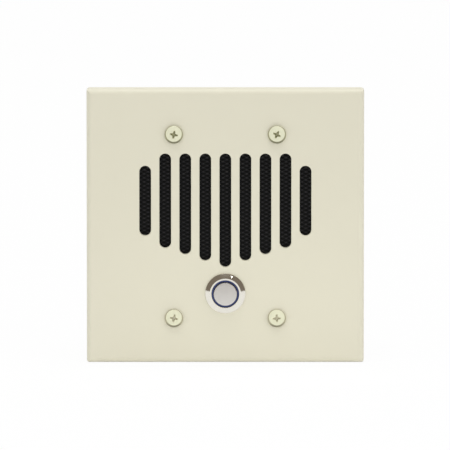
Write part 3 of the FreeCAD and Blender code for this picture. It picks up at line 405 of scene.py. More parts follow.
# Base colour, roughness, cloud, grain, and what else the finish has
finishes = {
    "powderCoat": ((0.764, 0.733, 0.5875), 0.46, (40.0, 0.008), (0.8, 0.007), {}),
    "screwPaint": ((0.78, 0.775, 0.572), 0.34, (2.5, 0.03), (0.5, 0.02), {"extra": paintedFrontAndShade}),
    "screenBlack": ((0.0066, 0.0066, 0.0074), 0.6, (3.0, 0.2), (0.15, 0.006),
                    {"extra": bondHighlights, "Specular IOR Level": 0.22}),
    "clothBlack": ((0.013, 0.013, 0.0125), 0.9, (9.0, 0.05), (0.3, 0.01),
                   {"extra": weave(0.2, 0.02, (0.008, 0.008, 0.008)), "Specular IOR Level": 0.12}),
    "foam": ((0.05, 0.05, 0.055), 0.95, (2.0, 0.2), (0.25, 0.06), {}),
    "basketSteel": ((0.05, 0.05, 0.055), 0.38, (9.0, 0.05), (0.5, 0.004), {"extra": wornCoat}),
    "surroundFoam": ((0.03, 0.03, 0.03), 0.7, (9.0, 0.05), (0.2, 0.01),
                     {"extra": weave(0.35, 0.02, (0.012, 0.012, 0.012))}),
    "conePaper": ((0.06, 0.055, 0.05), 0.85, (1.6, 0.25), (0.3, 0.03), {}),
    "dustCapPaper": ((0.05, 0.05, 0.05), 0.7, (1.2, 0.2), (0.25, 0.02), {}),
    "formerFilm": ((0.45, 0.25, 0.08), 0.2, (3.0, 0.1), (0.8, 0.002), {}),
    "copper": ((0.75, 0.33, 0.16), 0.22, (1.0, 0.1), (0.3, 0.002), {**metal, **coat(0.6, 0.1)}),
    "spiderCloth": ((0.62, 0.42, 0.16), 0.75, (9.0, 0.05), (0.3, 0.01),
                    {"extra": weave(0.45, 0.05, (0.3, 0.18, 0.05))}),
    "platedSteel": ((0.62, 0.62, 0.58), 0.3, (3.0, 0.12), (0.25, 0.003), metal),
    "ferrite": ((0.06, 0.06, 0.065), 0.6, (3.0, 0.15), (0.2, 0.01), {"extra": grindingMarks}),
    "fibreBoard": ((0.35, 0.17, 0.07), 0.6, (0.5, 0.25), (0.2, 0.01), {"stretch": (1, 1, 0.2)}),
    "brassPlate": ((0.72, 0.55, 0.25), 0.28, (2.5, 0.1), (0.15, 0.003), {**metal, "stretch": (1, 6, 1)}),
    "tinned": ((0.75, 0.74, 0.7), 0.3, (1.0, 0.1), (0.4, 0.01), metal),
    "boardGreen": ((0.02, 0.16, 0.06), 0.3, (12.0, 0.12), (0.6, 0.002),
                   {"extra": boardLook, **coat(0.3, 0.15)}),
    "blockGreen": ((0.04, 0.32, 0.14), 0.42, (6.0, 0.06), (0.25, 0.004), {}),
    "chipBlack": ((0.03, 0.03, 0.03), 0.6, (1.0, 0.15), (0.12, 0.008), {}),
    "canAluminium": ((0.1, 0.1, 0.13), 0.35, (4.0, 0.1), (0.8, 0.003), coat(0.3, 0.2)),
    "trimmerBlue": ((0.03, 0.12, 0.42), 0.42, (3.0, 0.08), (0.2, 0.004), {}),
    "rotorWhite": ((0.8, 0.79, 0.75), 0.45, (2.0, 0.03), (0.2, 0.004), {}),
    "nylonWhite": ((0.82, 0.81, 0.76), 0.45, (3.0, 0.03), (0.25, 0.004),
                   {"Subsurface Weight": 0.1, "Subsurface Scale": 0.001}),
    "bootRubber": ((0.025, 0.025, 0.025), 0.75, (3.0, 0.2), (0.3, 0.008), {}),
    "capsuleCan": ((0.68, 0.68, 0.7), 0.25, (1.5, 0.06), (0.2, 0.002), {**metal, "stretch": (1, 5, 1)}),
    "polishedSteel": ((0.8, 0.775, 0.7), 0.13, (2.0, 0.03), (0.5, 0.0006),
                      {**metal, "rings": (0.0, buttonHeight, 0.16, 0.0045)}),
    "satinSteel": ((0.832, 0.813, 0.778), 0.46, (2.2, 0.04), (0.12, 0.003),
                   {**metal, "rings": (0.0, buttonHeight, 0.12, 0.002)}),
    "sealRubber": ((0.02, 0.02, 0.02), 0.7, (3.0, 0.2), (0.3, 0.004), {}),
    "ringLens": ((0.03, 0.052, 0.2), 0.22, (3.0, 0.08), (0.6, 0.002), coat(0.2, 0.08)),
    "switchBlack": ((0.03, 0.03, 0.032), 0.48, (1.5, 0.2), (0.15, 0.005), {}),
    "guidePlastic": ((0.7, 0.69, 0.64), 0.4, (3.0, 0.03), (0.3, 0.003), {}),
    "springSteel": ((0.6, 0.6, 0.6), 0.25, (1.0, 0.06), (0.2, 0.001), metal),
    "lampWhite": ((0.85, 0.84, 0.7), 0.2, (0.6, 0.05), (0.5, 0.002), {}),
    "leadRed": ((0.5, 0.03, 0.02), 0.36, (2.0, 0.08), (0.4, 0.004), {}),
    "leadGrey": ((0.3, 0.3, 0.31), 0.36, (2.0, 0.08), (0.4, 0.004), {}),
    "leadBlue": ((0.04, 0.08, 0.4), 0.36, (2.0, 0.08), (0.4, 0.004), {}),
    "bareAluminium": ((0.7, 0.7, 0.71), 0.3, (1.5, 0.05), (0.2, 0.003), metal),
    "sleeveStripe": ((0.55, 0.56, 0.58), 0.4, (2.0, 0.05), (0.8, 0.003), {}),
    "maskedTrace": ((0.045, 0.27, 0.11), 0.3, (5.0, 0.1), (0.5, 0.002), coat(0.3, 0.15)),
    "whiteInk": ((0.78, 0.79, 0.76), 0.55, (0.8, 0.06), (0.15, 0.004), {}),
    "resistorBlack": ((0.025, 0.025, 0.028), 0.35, (0.6, 0.15), (0.2, 0.003), {}),
    "ceramicTan": ((0.36, 0.24, 0.14), 0.4, (0.6, 0.1), (0.2, 0.003), {}),
    "feltBlack": ((0.02, 0.02, 0.02), 0.95, (0.5, 0.3), (0.12, 0.05), {}),
}
looks = {name: finish(name, *row[:4], **row[4]) for name, row in finishes.items()}
print(len(looks), "finishes made")


# Rows of vectors, each brought to the length 1
def unit(rows):
    return rows / np.maximum(np.linalg.norm(rows, axis=1, keepdims=True), 1e-9)


# Flat vectors turned by a quarter to their left
def leftOf(way):
    return np.stack([-way[:, 1], way[:, 0]], -1)


def angles(sides):
    return np.arange(sides) * fullTurn / sides


# Points at the radius r and the angle a about a line along Y
def around(x, z, r, a, y):
    return np.stack([x + r * np.cos(a), y + 0 * r * a, z + r * np.sin(a)], -1)


# Rises from 0 to 1 as t * t * (3 - 2 * t)
def eased(t):
    return t * t * (3 - 2 * t)


# Joins a grid of points into a shell, which is points, four-cornered faces, three-cornered faces and the
# index of its finish. Rows and columns may close on themselves, and an end row on one point.
def grid(points, rowsClosed=False, columnsClosed=True, ends=(None, None), look=0):
    index = np.arange(points[..., 0].size).reshape(points.shape[:2])
    if rowsClosed:
        index = np.vstack([index, index[:1]])
    if columnsClosed:
        index = np.hstack([index, index[:, :1]])
    at = points.reshape(-1, 3)
    fans = [np.zeros((0, 3), int)]
    for end, ring, order in ((ends[0], index[0], slice(None, None, -1)), (ends[1], index[-1], slice(None))):
        if end is not None:
            tip = np.full(len(ring) - 1, len(at))
            fans.append(np.stack([ring[:-1], ring[1:], tip], -1)[:, order])
            at = np.vstack([at, at[ring[:-1]].mean(0) if end is True else end])
    return at, cellsOf(index), np.vstack(fans), look


# A V-shaped thread: 0 on the crest and 1 at the root, once for each turn of t, with both cut flat.
def vee(t, flat=0.125):
    return np.clip((1 + 2 * flat) * np.abs(2 * (t % 1.0) - 1.0) - flat, 0.0, 1.0)


# Turns (radius, y) points about a line along Y: x + r cos a, y, z + r sin a. A third column is the thread's
# depth there. A profile that starts and ends on the line is closed by its end points, another one on itself.
def turned(profile, x, z, sides, pitch=1.0, look=0):
    p = np.asarray(profile, float)
    depth = p[:, 2:3] if p.shape[1] > 2 else np.zeros((len(p), 1))
    a = angles(sides)
    points = around(x, z, p[:, :1] - depth * vee(p[:, 1:2] / pitch - a / fullTurn), a, p[:, 1:2])
    if p[:, 0].min() > 0:
        return grid(points, rowsClosed=True, look=look)
    return grid(points[1:-1], ends=((x, p[0, 1], z), (x, p[-1, 1], z)), look=look)


# Rounds every corner of a line of points by a curve of second degree, which starts and ends at most radius
# from it and at most share of the way to the next corner.
def rounded(points, radius, steps=4, closed=True, share=0.45):
    p = np.asarray(points, float)
    before, after = np.roll(p, 1, 0) - p, np.roll(p, -1, 0) - p
    far = np.minimum(*[np.linalg.norm(v, axis=1, keepdims=True) for v in (before, after)])
    cut = np.minimum(np.reshape(radius, (-1, 1)), share * far)
    if not closed:
        cut[[0, -1]] = 0.0
    t = np.linspace(0.0, 1.0, steps + 1)[:, None]
    start, end = p + unit(before) * cut, p + unit(after) * cut
    curve = (1 - t) ** 2 * start[:, None] + 2 * t * (1 - t) * p[:, None] + t ** 2 * end[:, None]
    curve = curve.reshape(-1, p.shape[1])
    keep = np.linalg.norm(curve - np.roll(curve, 1, 0), axis=1) > 1e-5
    keep[0] = keep[0] or not closed
    return curve[keep]


# The section of a ring, with its corners rounded from the inner front one round to the inner back one.
def section(inner, outer, front, back, edge=0.0):
    return rounded([(inner, front), (outer, front), (outer, back), (inner, back)], edge)


# Two sides of a sheet: a line of (radius, y) points moved by half the thickness along its own normals.
def sheetProfile(line, thickness):
    aside = leftOf(unit(np.gradient(line, axis=0))) * thickness / 2
    return np.vstack([line + aside, (line - aside)[::-1]])


# A row of (x, z) points at the height y
def level(p, y):
    return np.stack([p[:, 0], np.full(len(p), y), p[:, 1]], -1)


# A block with rounded corners, as an outline of (x, z) points carried along Y. Both ends are rounded by a
# quarter circle, where each point moves inwards by the same amount from both of its sides.
def brick(x, y, z, edge, look=0):
    p = rounded([(x[0], z[0]), (x[1], z[0]), (x[1], z[1]), (x[0], z[1])], edge, 3)
    side = leftOf(unit(np.roll(p, -1, 0) - p))
    both = side + np.roll(side, 1, 0)
    inward = both * 2 / np.sum(both * both, axis=1, keepdims=True)
    a = np.linspace(0.0, np.pi / 2, 4)
    rise, inset = edge * (1 - np.sin(a)), edge * (1 - np.cos(a))
    rows = [level(p + i * inward, y[0] + r) for r, i in zip(rise[::-1], inset[::-1])]
    rows += [level(p + i * inward, y[1] - r) for r, i in zip(rise, inset)]
    return grid(np.array(rows), ends=(True, True), look=look)


# A round tube along a path: sides in the plane of (way x Y) and its cross product with the way.
def tube(path, radius, sides):
    way = unit(np.gradient(path, axis=0))
    out = unit(np.cross(way, (0.0, 1.0, 0.0)))
    a = angles(sides)[None, :, None]
    ring = np.cos(a) * out[:, None] + np.sin(a) * np.cross(way, out)[:, None]
    return grid(path[:, None] + radius * ring, ends=(True, True))


# A hexagon has radius h / cos(angle from its nearest flat); a cone of 30 degrees takes its corners off.
def hexNut(flats, low, high, bore, x, z, sides=72, faceShare=0.98, lipShare=0.06):
    a = angles(sides)
    half = flats / 2
    outer = half / np.cos(a % (fullTurn / 6) - fullTurn / 12)
    drop = (outer - half * faceShare) * np.tan(np.pi / 6)
    lip = lipShare * half
    rows = [(bore, low + lip), (bore + lip, low), (half * faceShare, low), (outer, low + drop),
            (outer, high - drop), (half * faceShare, high), (bore + lip, high), (bore, high - lip)]
    return grid(np.array([around(x, z, r, a, y) for r, y in rows]), rowsClosed=True)


# A coil along Y: radius cos a, y, z + radius sin a, where y rises evenly and slows down over closedTurns at
# each end, as ground coils do.
def coilPath(radius, low, high, turns, z, perTurn=36, closedTurns=0.75, closedPace=0.12):
    t = np.linspace(0.0, turns, turns * perTurn + 1)
    pace = np.clip(np.minimum(t, turns - t) / closedTurns, closedPace, 1.0)
    y = np.concatenate([[0.0], np.cumsum((pace[1:] + pace[:-1]) / 2)])
    return around(0.0, z, radius, fullTurn * t, low + (high - low) * y / y[-1])


# A square grid drawn onto a disc: u sqrt(1 - v v / 2), v sqrt(1 - u u / 2), with its rim in order.
def disc(radius, cells):
    u, v = np.meshgrid(np.linspace(-1, 1, cells + 1), np.linspace(-1, 1, cells + 1), indexing="ij")
    return radius * u * np.sqrt(1 - v * v / 2), radius * v * np.sqrt(1 - u * u / 2)


# The values along the rim of a square table, in order
def rimOf(values):
    return np.concatenate([values[:-1, 0], values[-1, :-1], values[:0:-1, -1], values[0, :0:-1]])


def snakeCase(name):
    return "".join("_" + c.lower() if c.isupper() else c for c in name)


# Materials that the part's record names
slots = {material["slot"] for material in frame["record"]["materials"]}


# body is one body's name, or two names and two heights along Y, in which case the piece is only baked in
# place and given no body. The piece stands for the CAD node in stand, or else for the one that has its own
# name, if there is one.
def settle(name, data, look, body, stand):
    made = placed(name, data)
    if isinstance(body, str):
        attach(made, body)
    else:
        first, second, start, end = body
        start * millimetre
        end * millimetre
        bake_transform(made)
    node = stand or snakeCase(name)
    if node in frame["nodes"]:
        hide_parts(node)
    if snakeCase(look) in slots:
        snakeCase(look)
    return made


# One piece from closed shells. A shell whose volume, the sum of a.(b x c) / 6, is negative is turned round.
def piece(name, shells, wear, body="station", stand=None, crease=38.0, weld=False):
    wear = [wear] if isinstance(wear, str) else wear
    points, faces, picks, count = [], [], [], 0
    for at, quads, fans, look in shells:
        corners = np.vstack([quads[:, :3], quads[:, [0, 2, 3]], fans])
        a, b, c = (at[corners[:, k]] - at.mean(0) for k in range(3))
        order = slice(None, None, -1 if np.sum(a * np.cross(b, c)) < 0 else 1)
        faces += (quads[:, order] + count).tolist() + (fans[:, order] + count).tolist()
        picks.append(np.broadcast_to(look, len(quads) + len(fans)))
        points.append(at)
        count += len(at)
    mesh = newMesh(name, np.vstack(points), faces, [looks[look] for look in wear])
    mesh.polygons.foreach_set("material_index", np.concatenate(picks).astype(np.int32))
    if weld:
        work = bmesh.new()
        work.from_mesh(mesh)
        bmesh.ops.remove_doubles(work, verts=work.verts, dist=1e-7)
        bmesh.ops.recalc_face_normals(work, faces=work.faces)
        work.to_mesh(mesh)
        work.free()
    mesh.polygons.foreach_set("use_smooth", np.ones(len(mesh.polygons), bool))
    mesh.set_sharp_from_angle(angle=np.radians(crease))
    mesh.update()
    return settle(name, mesh, wear[0], body, stand)


# One turned shell about the line along Y through x = 0 and z = height
def turnedPiece(name, profile, look, height, body="station", stand=None, sides=96, pitch=1.0):
    return piece(name, [turned(profile, 0.0, height, sides, pitch)], look, body, stand)


easing = {"merge": 0.002, "flatAngle": 0.8, "sharpAngle": 40.0, "segments": 2}


# The CAD node's own faces with every sharp edge rounded by width: a merged copy under a Bevel.
def edged(name, look, width, body="station", stand=None):
    e = easing
    work = bmesh.new()
    work.from_mesh(frame["nodes"][stand or snakeCase(name)].data)
    bmesh.ops.remove_doubles(work, verts=work.verts, dist=e["merge"] * millimetre)
    angle = np.radians(e["flatAngle"])
    bmesh.ops.dissolve_limit(work, angle_limit=angle, verts=work.verts, edges=work.edges)
    mesh = bpy.data.meshes.new(name)
    work.to_mesh(mesh)
    work.free()
    if "custom_normal" in mesh.attributes:
        mesh.attributes.remove(mesh.attributes["custom_normal"])
    mesh.materials.append(looks[look])
    mesh.polygons.foreach_set("material_index", np.zeros(len(mesh.polygons), np.int32))
    mesh.polygons.foreach_set("use_smooth", np.ones(len(mesh.polygons), bool))
    made = settle(name, mesh, look, body, stand)
    bevel = made.modifiers.new("roundedEdges", "BEVEL")
    bevel.width = width * millimetre
    bevel.segments = e["segments"]
    bevel.limit_method = "ANGLE"
    bevel.angle_limit = np.radians(e["sharpAngle"])
    weigh = made.modifiers.new("flatFaces", "WEIGHTED_NORMAL")
    weigh.keep_sharp = True


# A CAD node that keeps its own mesh
def dress(node, look):
    mesh = frame["nodes"][node].data
    mesh.materials.clear()
    mesh.materials.append(looks[look])


# Faceplate, screws, screen and the cloth behind it
dress("faceplate", "powderCoat")


# The face is a shallow dome, height - dome (r / face)^2, less a cross recess whose depth falls off towards
# the tips and whose corners are eased by a smooth minimum of |x| and |z|. A quarter circle and the skirt's
# (inset, drop) points lead down from it to the plate.
def screwHead(x, z, degrees):
    s = screws
    u, v = disc(s["face"], s["cells"])
    lift = s["dome"] * (u * u + v * v) / s["face"] ** 2
    c, d = np.cos(np.radians(degrees)), np.sin(np.radians(degrees))
    w = v - s["recessShift"]
    along, across = np.abs(u * c - w * d), np.abs(u * d + w * c)
    share = np.clip(0.5 + 0.5 * (across - along) / s["ease"], 0, 1)
    near = across + (along - across) * share - s["ease"] * share * (1 - share)
    reach = np.maximum(along, across)
    wall = np.clip((s["half"] - s["flare"] * reach - near) / s["wall"], 0, 1)
    sink = s["depth"] * np.clip((s["span"] - reach) / s["taper"], 0, 1) * eased(wall)
    y = planes["front"] - s["height"] + lift + sink
    face = grid(np.stack([x + u, y, z + v], -1), columnsClosed=False)
    a = np.linspace(0.0, np.pi / 2, 7)
    shoulder = s["radius"] - s["face"]
    edge = planes["front"] - s["edge"]
    skirt = [(s["radius"] - inset, edge + drop) for inset, drop in s["skirt"]]
    line = np.vstack([np.stack([s["face"] + shoulder * np.sin(a), edge - shoulder * np.cos(a)], -1), skirt])
    r, y = line[:, :1] / s["face"], line[:, 1:]
    rows = np.stack([x + r * rimOf(u), y + 0 * rimOf(u), z + r * rimOf(v)], -1)
    return face, grid(rows, ends=(None, True))


# A cut thread with its depth fading in under the head and a chamfered point.
def threadProfile(low, radius, end, pitch, depth, point, perTurn):
    y = np.linspace(low, end, int((end - low) / pitch * perTurn))
    fade = np.clip((y - low) / pitch, 0, 1) * np.clip((end - y) / (0.5 * pitch), 0, 1)
    r = radius - point * np.clip(1 - (end - y) / point, 0, 1)
    return np.stack([r, y, depth * fade], -1)


# A threaded rod about a line along Y, with a plain neck from start to stop
def rod(x, z, neck, start, stop, low, sides, thread):
    foot = [(0.0, start, 0.0), (neck, start, 0.0), (neck, stop, 0.0)]
    line = np.vstack([foot, threadProfile(low, **thread), [(0.0, thread["end"], 0.0)]])
    return turned(line, x, z, sides, thread["pitch"])


def makeScrews():
    s, skin, step = screws, planes["skin"], screws["step"]
    shells = []
    for x, z, degrees in s["places"]:
        shells += screwHead(x, z, degrees)
        shells.append(rod(x, z, s["neck"], planes["front"] - step, skin, skin + step, 24, s["thread"]))
    piece("screws", shells, "screwPaint", stand="mounting_screws", weld=True)


cloth = {"inset": 0.3, "thickness": 0.12, "bulge": 0.06, "columns": 196, "rows": 124, "studRoom": 2.3}


# Lower edge of the sheet: level in the middle, then rising to both sides in a straight line.
def lowerEdge(x):
    s = screen
    slope = (s["low"] - s["bottom"]) / (s["side"] - s["middle"])
    return s["bottom"] + slope * np.maximum(np.abs(x) - s["middle"], 0)


# Expanded steel: every opening is a softened diamond, |x / a|^n + |z / b|^n = 1, in a cell that is a full
# diamond, and the strand below each opening leans forwards, the one above it back.
def makeScreen():
    s = screen
    halfLong, halfShort = s["longWay"] / 2, s["shortWay"] / 2
    i, j = np.mgrid[-s["reach"]:s["reach"] + 1, -s["reach"]:s["reach"] + 1]
    cells = (i + j) % 2 == 1
    x, z = i[cells] * halfLong + s["shiftX"], j[cells] * halfShort + s["shiftZ"]
    keep = (np.abs(x) < s["side"] - halfLong) & (z < s["top"] - halfShort)
    keep &= z - halfShort > lowerEdge(np.abs(x) + halfLong)
    for px, pz in studPlaces:
        keep &= np.hypot(x - px, z - pz) > s["clearance"] + halfLong
    x, z = x[keep][:, None, None], z[keep][:, None, None]
    a = angles(s["steps"])
    c, d, n = np.cos(a), np.sin(a), s["power"]
    outer = 1 / (np.abs(c) + np.abs(d))
    inner = (np.abs(c) ** n + np.abs(d) ** n) ** (-1 / n)
    px = np.stack([halfLong * outer * c, s["openLong"] * inner * c])
    pz = np.stack([halfShort * outer * d, s["openShort"] * inner * d])
    py = np.stack([0 * c, s["tilt"] * inner * d])
    middle = (planes["skin"] + planes["screenBack"]) / 2
    points = np.stack([x + px, middle + 0 * x + py, z + pz], -1)
    k = np.arange(s["steps"])
    ring = np.stack([k, np.roll(k, -1), s["steps"] + np.roll(k, -1), s["steps"] + k], -1)
    quads = np.arange(len(points))[:, None, None] * 2 * s["steps"] + ring
    shell = (points.reshape(-1, 3), quads.reshape(-1, 4), np.zeros((0, 3), int), 0)
    made = piece("screen", [shell], "screenBlack", stand="grille_mesh", crease=60.0, weld=True)
    thicken(made, s["thickness"])
    print("screen cells:", len(points))


# Half of the thickness goes to each side.
def thicken(made, thickness):
    wall = made.modifiers.new("thickness", "SOLIDIFY")
    wall.thickness = thickness * millimetre
    wall.offset = 0.0


# Cloth stretched behind the screen: a grid between its lower and upper edge, which bulges a little into each
# opening by a product of cosines with the screen's own pitch.
def makeCloth():
    s, c = screen, cloth
    side, top = s["side"] - c["inset"], s["top"] - c["inset"]
    x = np.linspace(-side, side, c["columns"])
    low = lowerEdge(x) + c["inset"]
    for px, pz in studPlaces[1:]:
        low = np.maximum(low, pz + np.sqrt(np.maximum(c["studRoom"] ** 2 - (x - px) ** 2, 0)))
    share = np.linspace(0, 1, c["rows"])[:, None]
    z = low + (top - low) * share
    x = x + 0 * share
    wave = np.cos(fullTurn * (x - s["shiftX"]) / s["longWay"])
    wave *= np.cos(fullTurn * (z - s["shiftZ"]) / s["shortWay"])
    y = (planes["screenBack"] + planes["clothBack"]) / 2 + c["bulge"] / 2 * (wave - np.abs(wave))
    shell = grid(np.stack([x, y, z], -1), columnsClosed=False)
    made = piece("dustCloth", [shell], "clothBlack")
    thicken(made, c["thickness"])
    area = 2 * side * np.mean(top - (low[1:] + low[:-1]) / 2) * millimetre ** 2
    (top - low.min()) * millimetre


makeScrews()
makeScreen()
makeCloth()
print("front made")

# Push button. groove and washer are two radii and a depth, ring two radii and two planes, cap a radius and
# two planes, nut its width, height and bore. Each list of roundings follows the points of its profile.
button = {
    "bezel": 9.0, "edge": 0.6, "rim": 7.0, "bore": 6.2, "mouth": 0.25,
    "groove": (8.2, 8.75, 0.5), "rounding": (0, 0.06, 0.05, 0.05, 0.45, 0.02, 0.02, 0.02, 0.02, 0.02, 0),
    "thread": {"radius": 7.95, "end": 8.65, "pitch": 1.0, "depth": 0.45, "point": 0.4, "perTurn": 8},
    "threadGap": 0.1, "ring": (5.35, 6.1, -7.55, 2.2), "ringEdges": (0.15, 0.15, 0.05, 0.05),
    "cap": (5.15, -9.25, -4.2), "capFace": 1.2, "capWall": 0.7, "capEdges": (0, 0.2, 0.1, 0.1, 0.2, 0),
    "sealEdge": 0.2, "washer": (8.1, 9.6, 0.6), "washerEdges": (0.05, 0.12, 0.2, 0.05),
    "nut": (18.0, 3.0, 8.0), "springRadius": 3.3, "springWire": 0.25, "springTurns": 6,
    "springEnds": (-7.7, -0.95),
}


# Bezel and bushing in one: bore, rim, chamfer, edge, seal groove and the thread behind the plate.
def makeHousing():
    b, front, rim, skin = button, planes["front"], planes["rim"], planes["skin"]
    inner, outer, deep = b["groove"]
    radius, back, pitch = [b["thread"][key] for key in ("radius", "end", "pitch")]
    face = [(b["bore"], 0.0), (b["bore"], rim), (b["rim"], rim), (b["bezel"], front - b["edge"]),
            (b["bezel"], front), (outer, front), (outer, front - deep), (inner, front - deep), (inner, front),
            (radius, front), (radius, skin)]
    face = np.pad(rounded(face, b["rounding"], 3, closed=False), ((0, 0), (0, 1)))
    run = threadProfile(skin + b["threadGap"], **b["thread"])
    end = [(b["bore"] + b["mouth"], back, 0.0), (b["bore"], back - b["mouth"], 0.0)]
    turnedPiece("buttonHousing", np.vstack([face, run, end]), "polishedSteel", buttonHeight, pitch=pitch)


# Everything that is round about the button's own line
def makeButton():
    b, z, front, skin = button, buttonHeight, planes["front"], planes["skin"]
    makeHousing()
    turnedPiece("lightRing", section(*b["ring"], b["ringEdges"]), "ringLens", z)
    radius, low, high = b["cap"]
    hollow, inside = radius - b["capWall"], low + b["capFace"]
    cup = [(0, low), (radius, low), (radius, high), (hollow, high), (hollow, inside), (0, inside)]
    turnedPiece("buttonCap", rounded(cup, b["capEdges"], 5, closed=False), "satinSteel", z, "button")
    inner, outer, deep = b["groove"]
    turnedPiece("buttonSeal", section(inner, outer, front - deep, front, b["sealEdge"]), "sealRubber", z)
    inner, outer, thick = b["washer"]
    turnedPiece("buttonWasher", section(inner, outer, skin, skin + thick, b["washerEdges"]), "platedSteel", z)
    flats, height, bore = b["nut"]
    nut = hexNut(flats, skin + thick, skin + thick + height, bore, 0, z, 144)
    piece("buttonNut", [nut], "platedSteel")
    wire = coilPath(b["springRadius"], *b["springEnds"], b["springTurns"], z)
    piece("returnSpring", [tube(wire, b["springWire"], 12)], "springSteel",
          ("button", "station", *b["springEnds"]))


makeButton()
edged("buttonPlunger", "guidePlastic", 0.12, "button")
edged("movingContact", "brassPlate", 0.06, "button")
edged("plungerGuide", "guidePlastic", 0.12)
edged("lampBoard", "boardGreen", 0.05, stand="led_board")
edged("ringLamps", "lampWhite", 0.08, stand="ring_leds")
edged("switchBase", "switchBlack", 0.2)
edged("switchTerminals", "tinned", 0.08)
print("push button made")

# Loudspeaker. gasket and roll are two radii, former two radii and two planes, winding a radius, two planes
# and its turns, and capWall the dust cap's wall in the middle and at its rim.
speaker = {
    "gasket": (22.9, 25.0), "gasketEdge": 0.35, "roll": (19.0, 21.2), "rollFlat": 0.3, "rollHeight": 1.023,
    "lip": 22.7, "sheet": 0.25, "coneRim": 18.2, "coneFoot": 6.95, "coneGap": 0.05, "coneBack": 2.0,
    "coneBow": 0.2, "coneThickness": 0.35, "ribs": (10.6, 13.0, 15.4), "ribWidth": 0.35, "ribHeight": 0.09,
    "capRadius": 8.4, "capBase": 1.46, "capHeight": 2.4, "capWall": (0.3, 0.1), "capShrink": 0.955,
    "former": (6.75, 6.9, 1.65, 9.25), "winding": (7.03, 6.38, 9.12, 11), "windingWire": 0.12,
}

# Spider and magnet system, where rings, plate and magnet are inner and outer radii
spider = {"rings": (6.95, 16.95), "plane": 3.2, "flat": 14.5, "hub": 0.6, "pitch": 2.35, "waves": 3,
          "height": 0.5, "thickness": 0.28}
motor = {"plate": (7.5, 14.0), "plateEdge": 0.25, "magnet": (8.6, 16.0), "magnetEdge": 0.4, "bore": 1.5,
         "mouth": 0.6, "pole": 6.4, "yoke": 14.5, "edges": (0.1, 0.3, 0.2, 0.2, 0.5, 0.1, 0.1)}


# Reads the points of a ring, and does nothing more with them.
def bendRing(ring):
    spots = np.empty(len(ring.data.vertices) * 3)
    ring.data.vertices.foreach_get("co", spots)


# The surround's half roll: a half circle of the roll's radius, with its height, between two flat rims.
def makeSurround():
    s = speaker
    foam = section(*s["gasket"], planes["clothBack"], planes["speakerFront"], s["gasketEdge"])
    turnedPiece("speakerGasket", foam, "foam", speakerHeight)
    low, high = s["roll"]
    a = np.linspace(np.pi, 0, 25)
    flat = planes["speakerFront"] - s["sheet"] / 2
    roll = np.stack([(low + high) / 2 + (high - low) / 2 * np.cos(a), flat - s["rollHeight"] * np.sin(a)], -1)
    line = np.vstack([[(s["coneRim"], flat), (low - s["rollFlat"], flat)], roll,
                      [(high + s["rollFlat"], flat), (s["lip"], flat)]])
    ring = turnedPiece("surround", sheetProfile(line, s["sheet"]), "surroundFoam", speakerHeight,
                       ("cone", "station", 0, 1), "speaker_surround")
    bendRing(ring)


# The cone is a straight slope plus a sine bow and shallow pressed ribs, the cap height times 1 - (r / R)^2.
def makeCone():
    s, z = speaker, speakerHeight
    front = planes["speakerFront"] + s["coneGap"]
    r = np.linspace(s["coneRim"], s["coneFoot"], 48)
    share = (s["coneRim"] - r) / (s["coneRim"] - s["coneFoot"])
    y = front + (s["coneBack"] - front) * share + s["coneBow"] * np.sin(np.pi * share)
    y += s["ribHeight"] * sum(np.exp(-((r - rib) / s["ribWidth"]) ** 2) for rib in s["ribs"])
    line = np.vstack([[(s["roll"][0], front)], np.stack([r, y], -1)])
    profile = np.vstack([line, (line + (0, s["coneThickness"]))[::-1]])
    turnedPiece("cone", profile, "conePaper", z, "cone", "speaker_cone")

    r = np.linspace(0, s["capRadius"], 20)
    share = (r / s["capRadius"]) ** 2
    y = s["capBase"] - s["capHeight"] * (1 - share)
    middle, rim = s["capWall"]
    inside = np.stack([r * s["capShrink"], y + middle + (rim - middle) * share], -1)[::-1]
    turnedPiece("dustCap", np.vstack([np.stack([r, y], -1), inside]), "dustCapPaper", z, "cone", sides=72)
    turnedPiece("coilFormer", section(*s["former"]), "formerFilm", z, "cone", sides=72)
    wire = coilPath(*s["winding"], z, 48)
    piece("coilWinding", [tube(wire, s["windingWire"], 6)], "copper", "cone")


# Spider: concentric waves, half the height times 1 - cos of the way across a pitch, between two flat rims.
def makeSpider():
    s = spider
    inner, outer = s["rings"]
    r = np.linspace(outer, inner, 90)
    way = np.clip((s["flat"] - r) / s["pitch"], 0, s["waves"])
    y = s["plane"] - s["height"] / 2 * (1 - np.cos(fullTurn * way))
    profile = sheetProfile(np.stack([r, y], -1), s["thickness"])
    ring = turnedPiece("spider", profile, "spiderCloth", speakerHeight, ("cone", "station", 0, 1))
    bendRing(ring)


# Front plate, magnet, and the back plate in one piece with its bored pole
def makeMotor():
    m, z = motor, speakerHeight
    basket, front, magnet, back = [planes[name] for name in
                                   ("basketBack", "frontPoleBack", "magnetBack", "speakerBack")]
    plate = section(*m["plate"], basket, front, m["plateEdge"])
    turnedPiece("frontPole", plate, "platedSteel", z, stand="front_pole_plate")
    ferrite = section(*m["magnet"], front, magnet, m["magnetEdge"])
    turnedPiece("magnetRing", ferrite, "ferrite", z, stand="magnet")
    yoke = [(m["bore"], basket), (m["pole"], basket), (m["pole"], magnet), (m["yoke"], magnet),
            (m["yoke"], back), (m["bore"] + m["mouth"], back), (m["bore"], back - m["mouth"])]
    turnedPiece("backPole", rounded(yoke, m["edges"]), "platedSteel", z, stand="pole_piece")


makeSurround()
makeCone()
makeSpider()
makeMotor()
edged("basket", "basketSteel", 0.2, stand="speaker_frame")
edged("terminalStrip", "fibreBoard", 0.08)
edged("terminalLugs", "tinned", 0.08)
print("loudspeaker made")

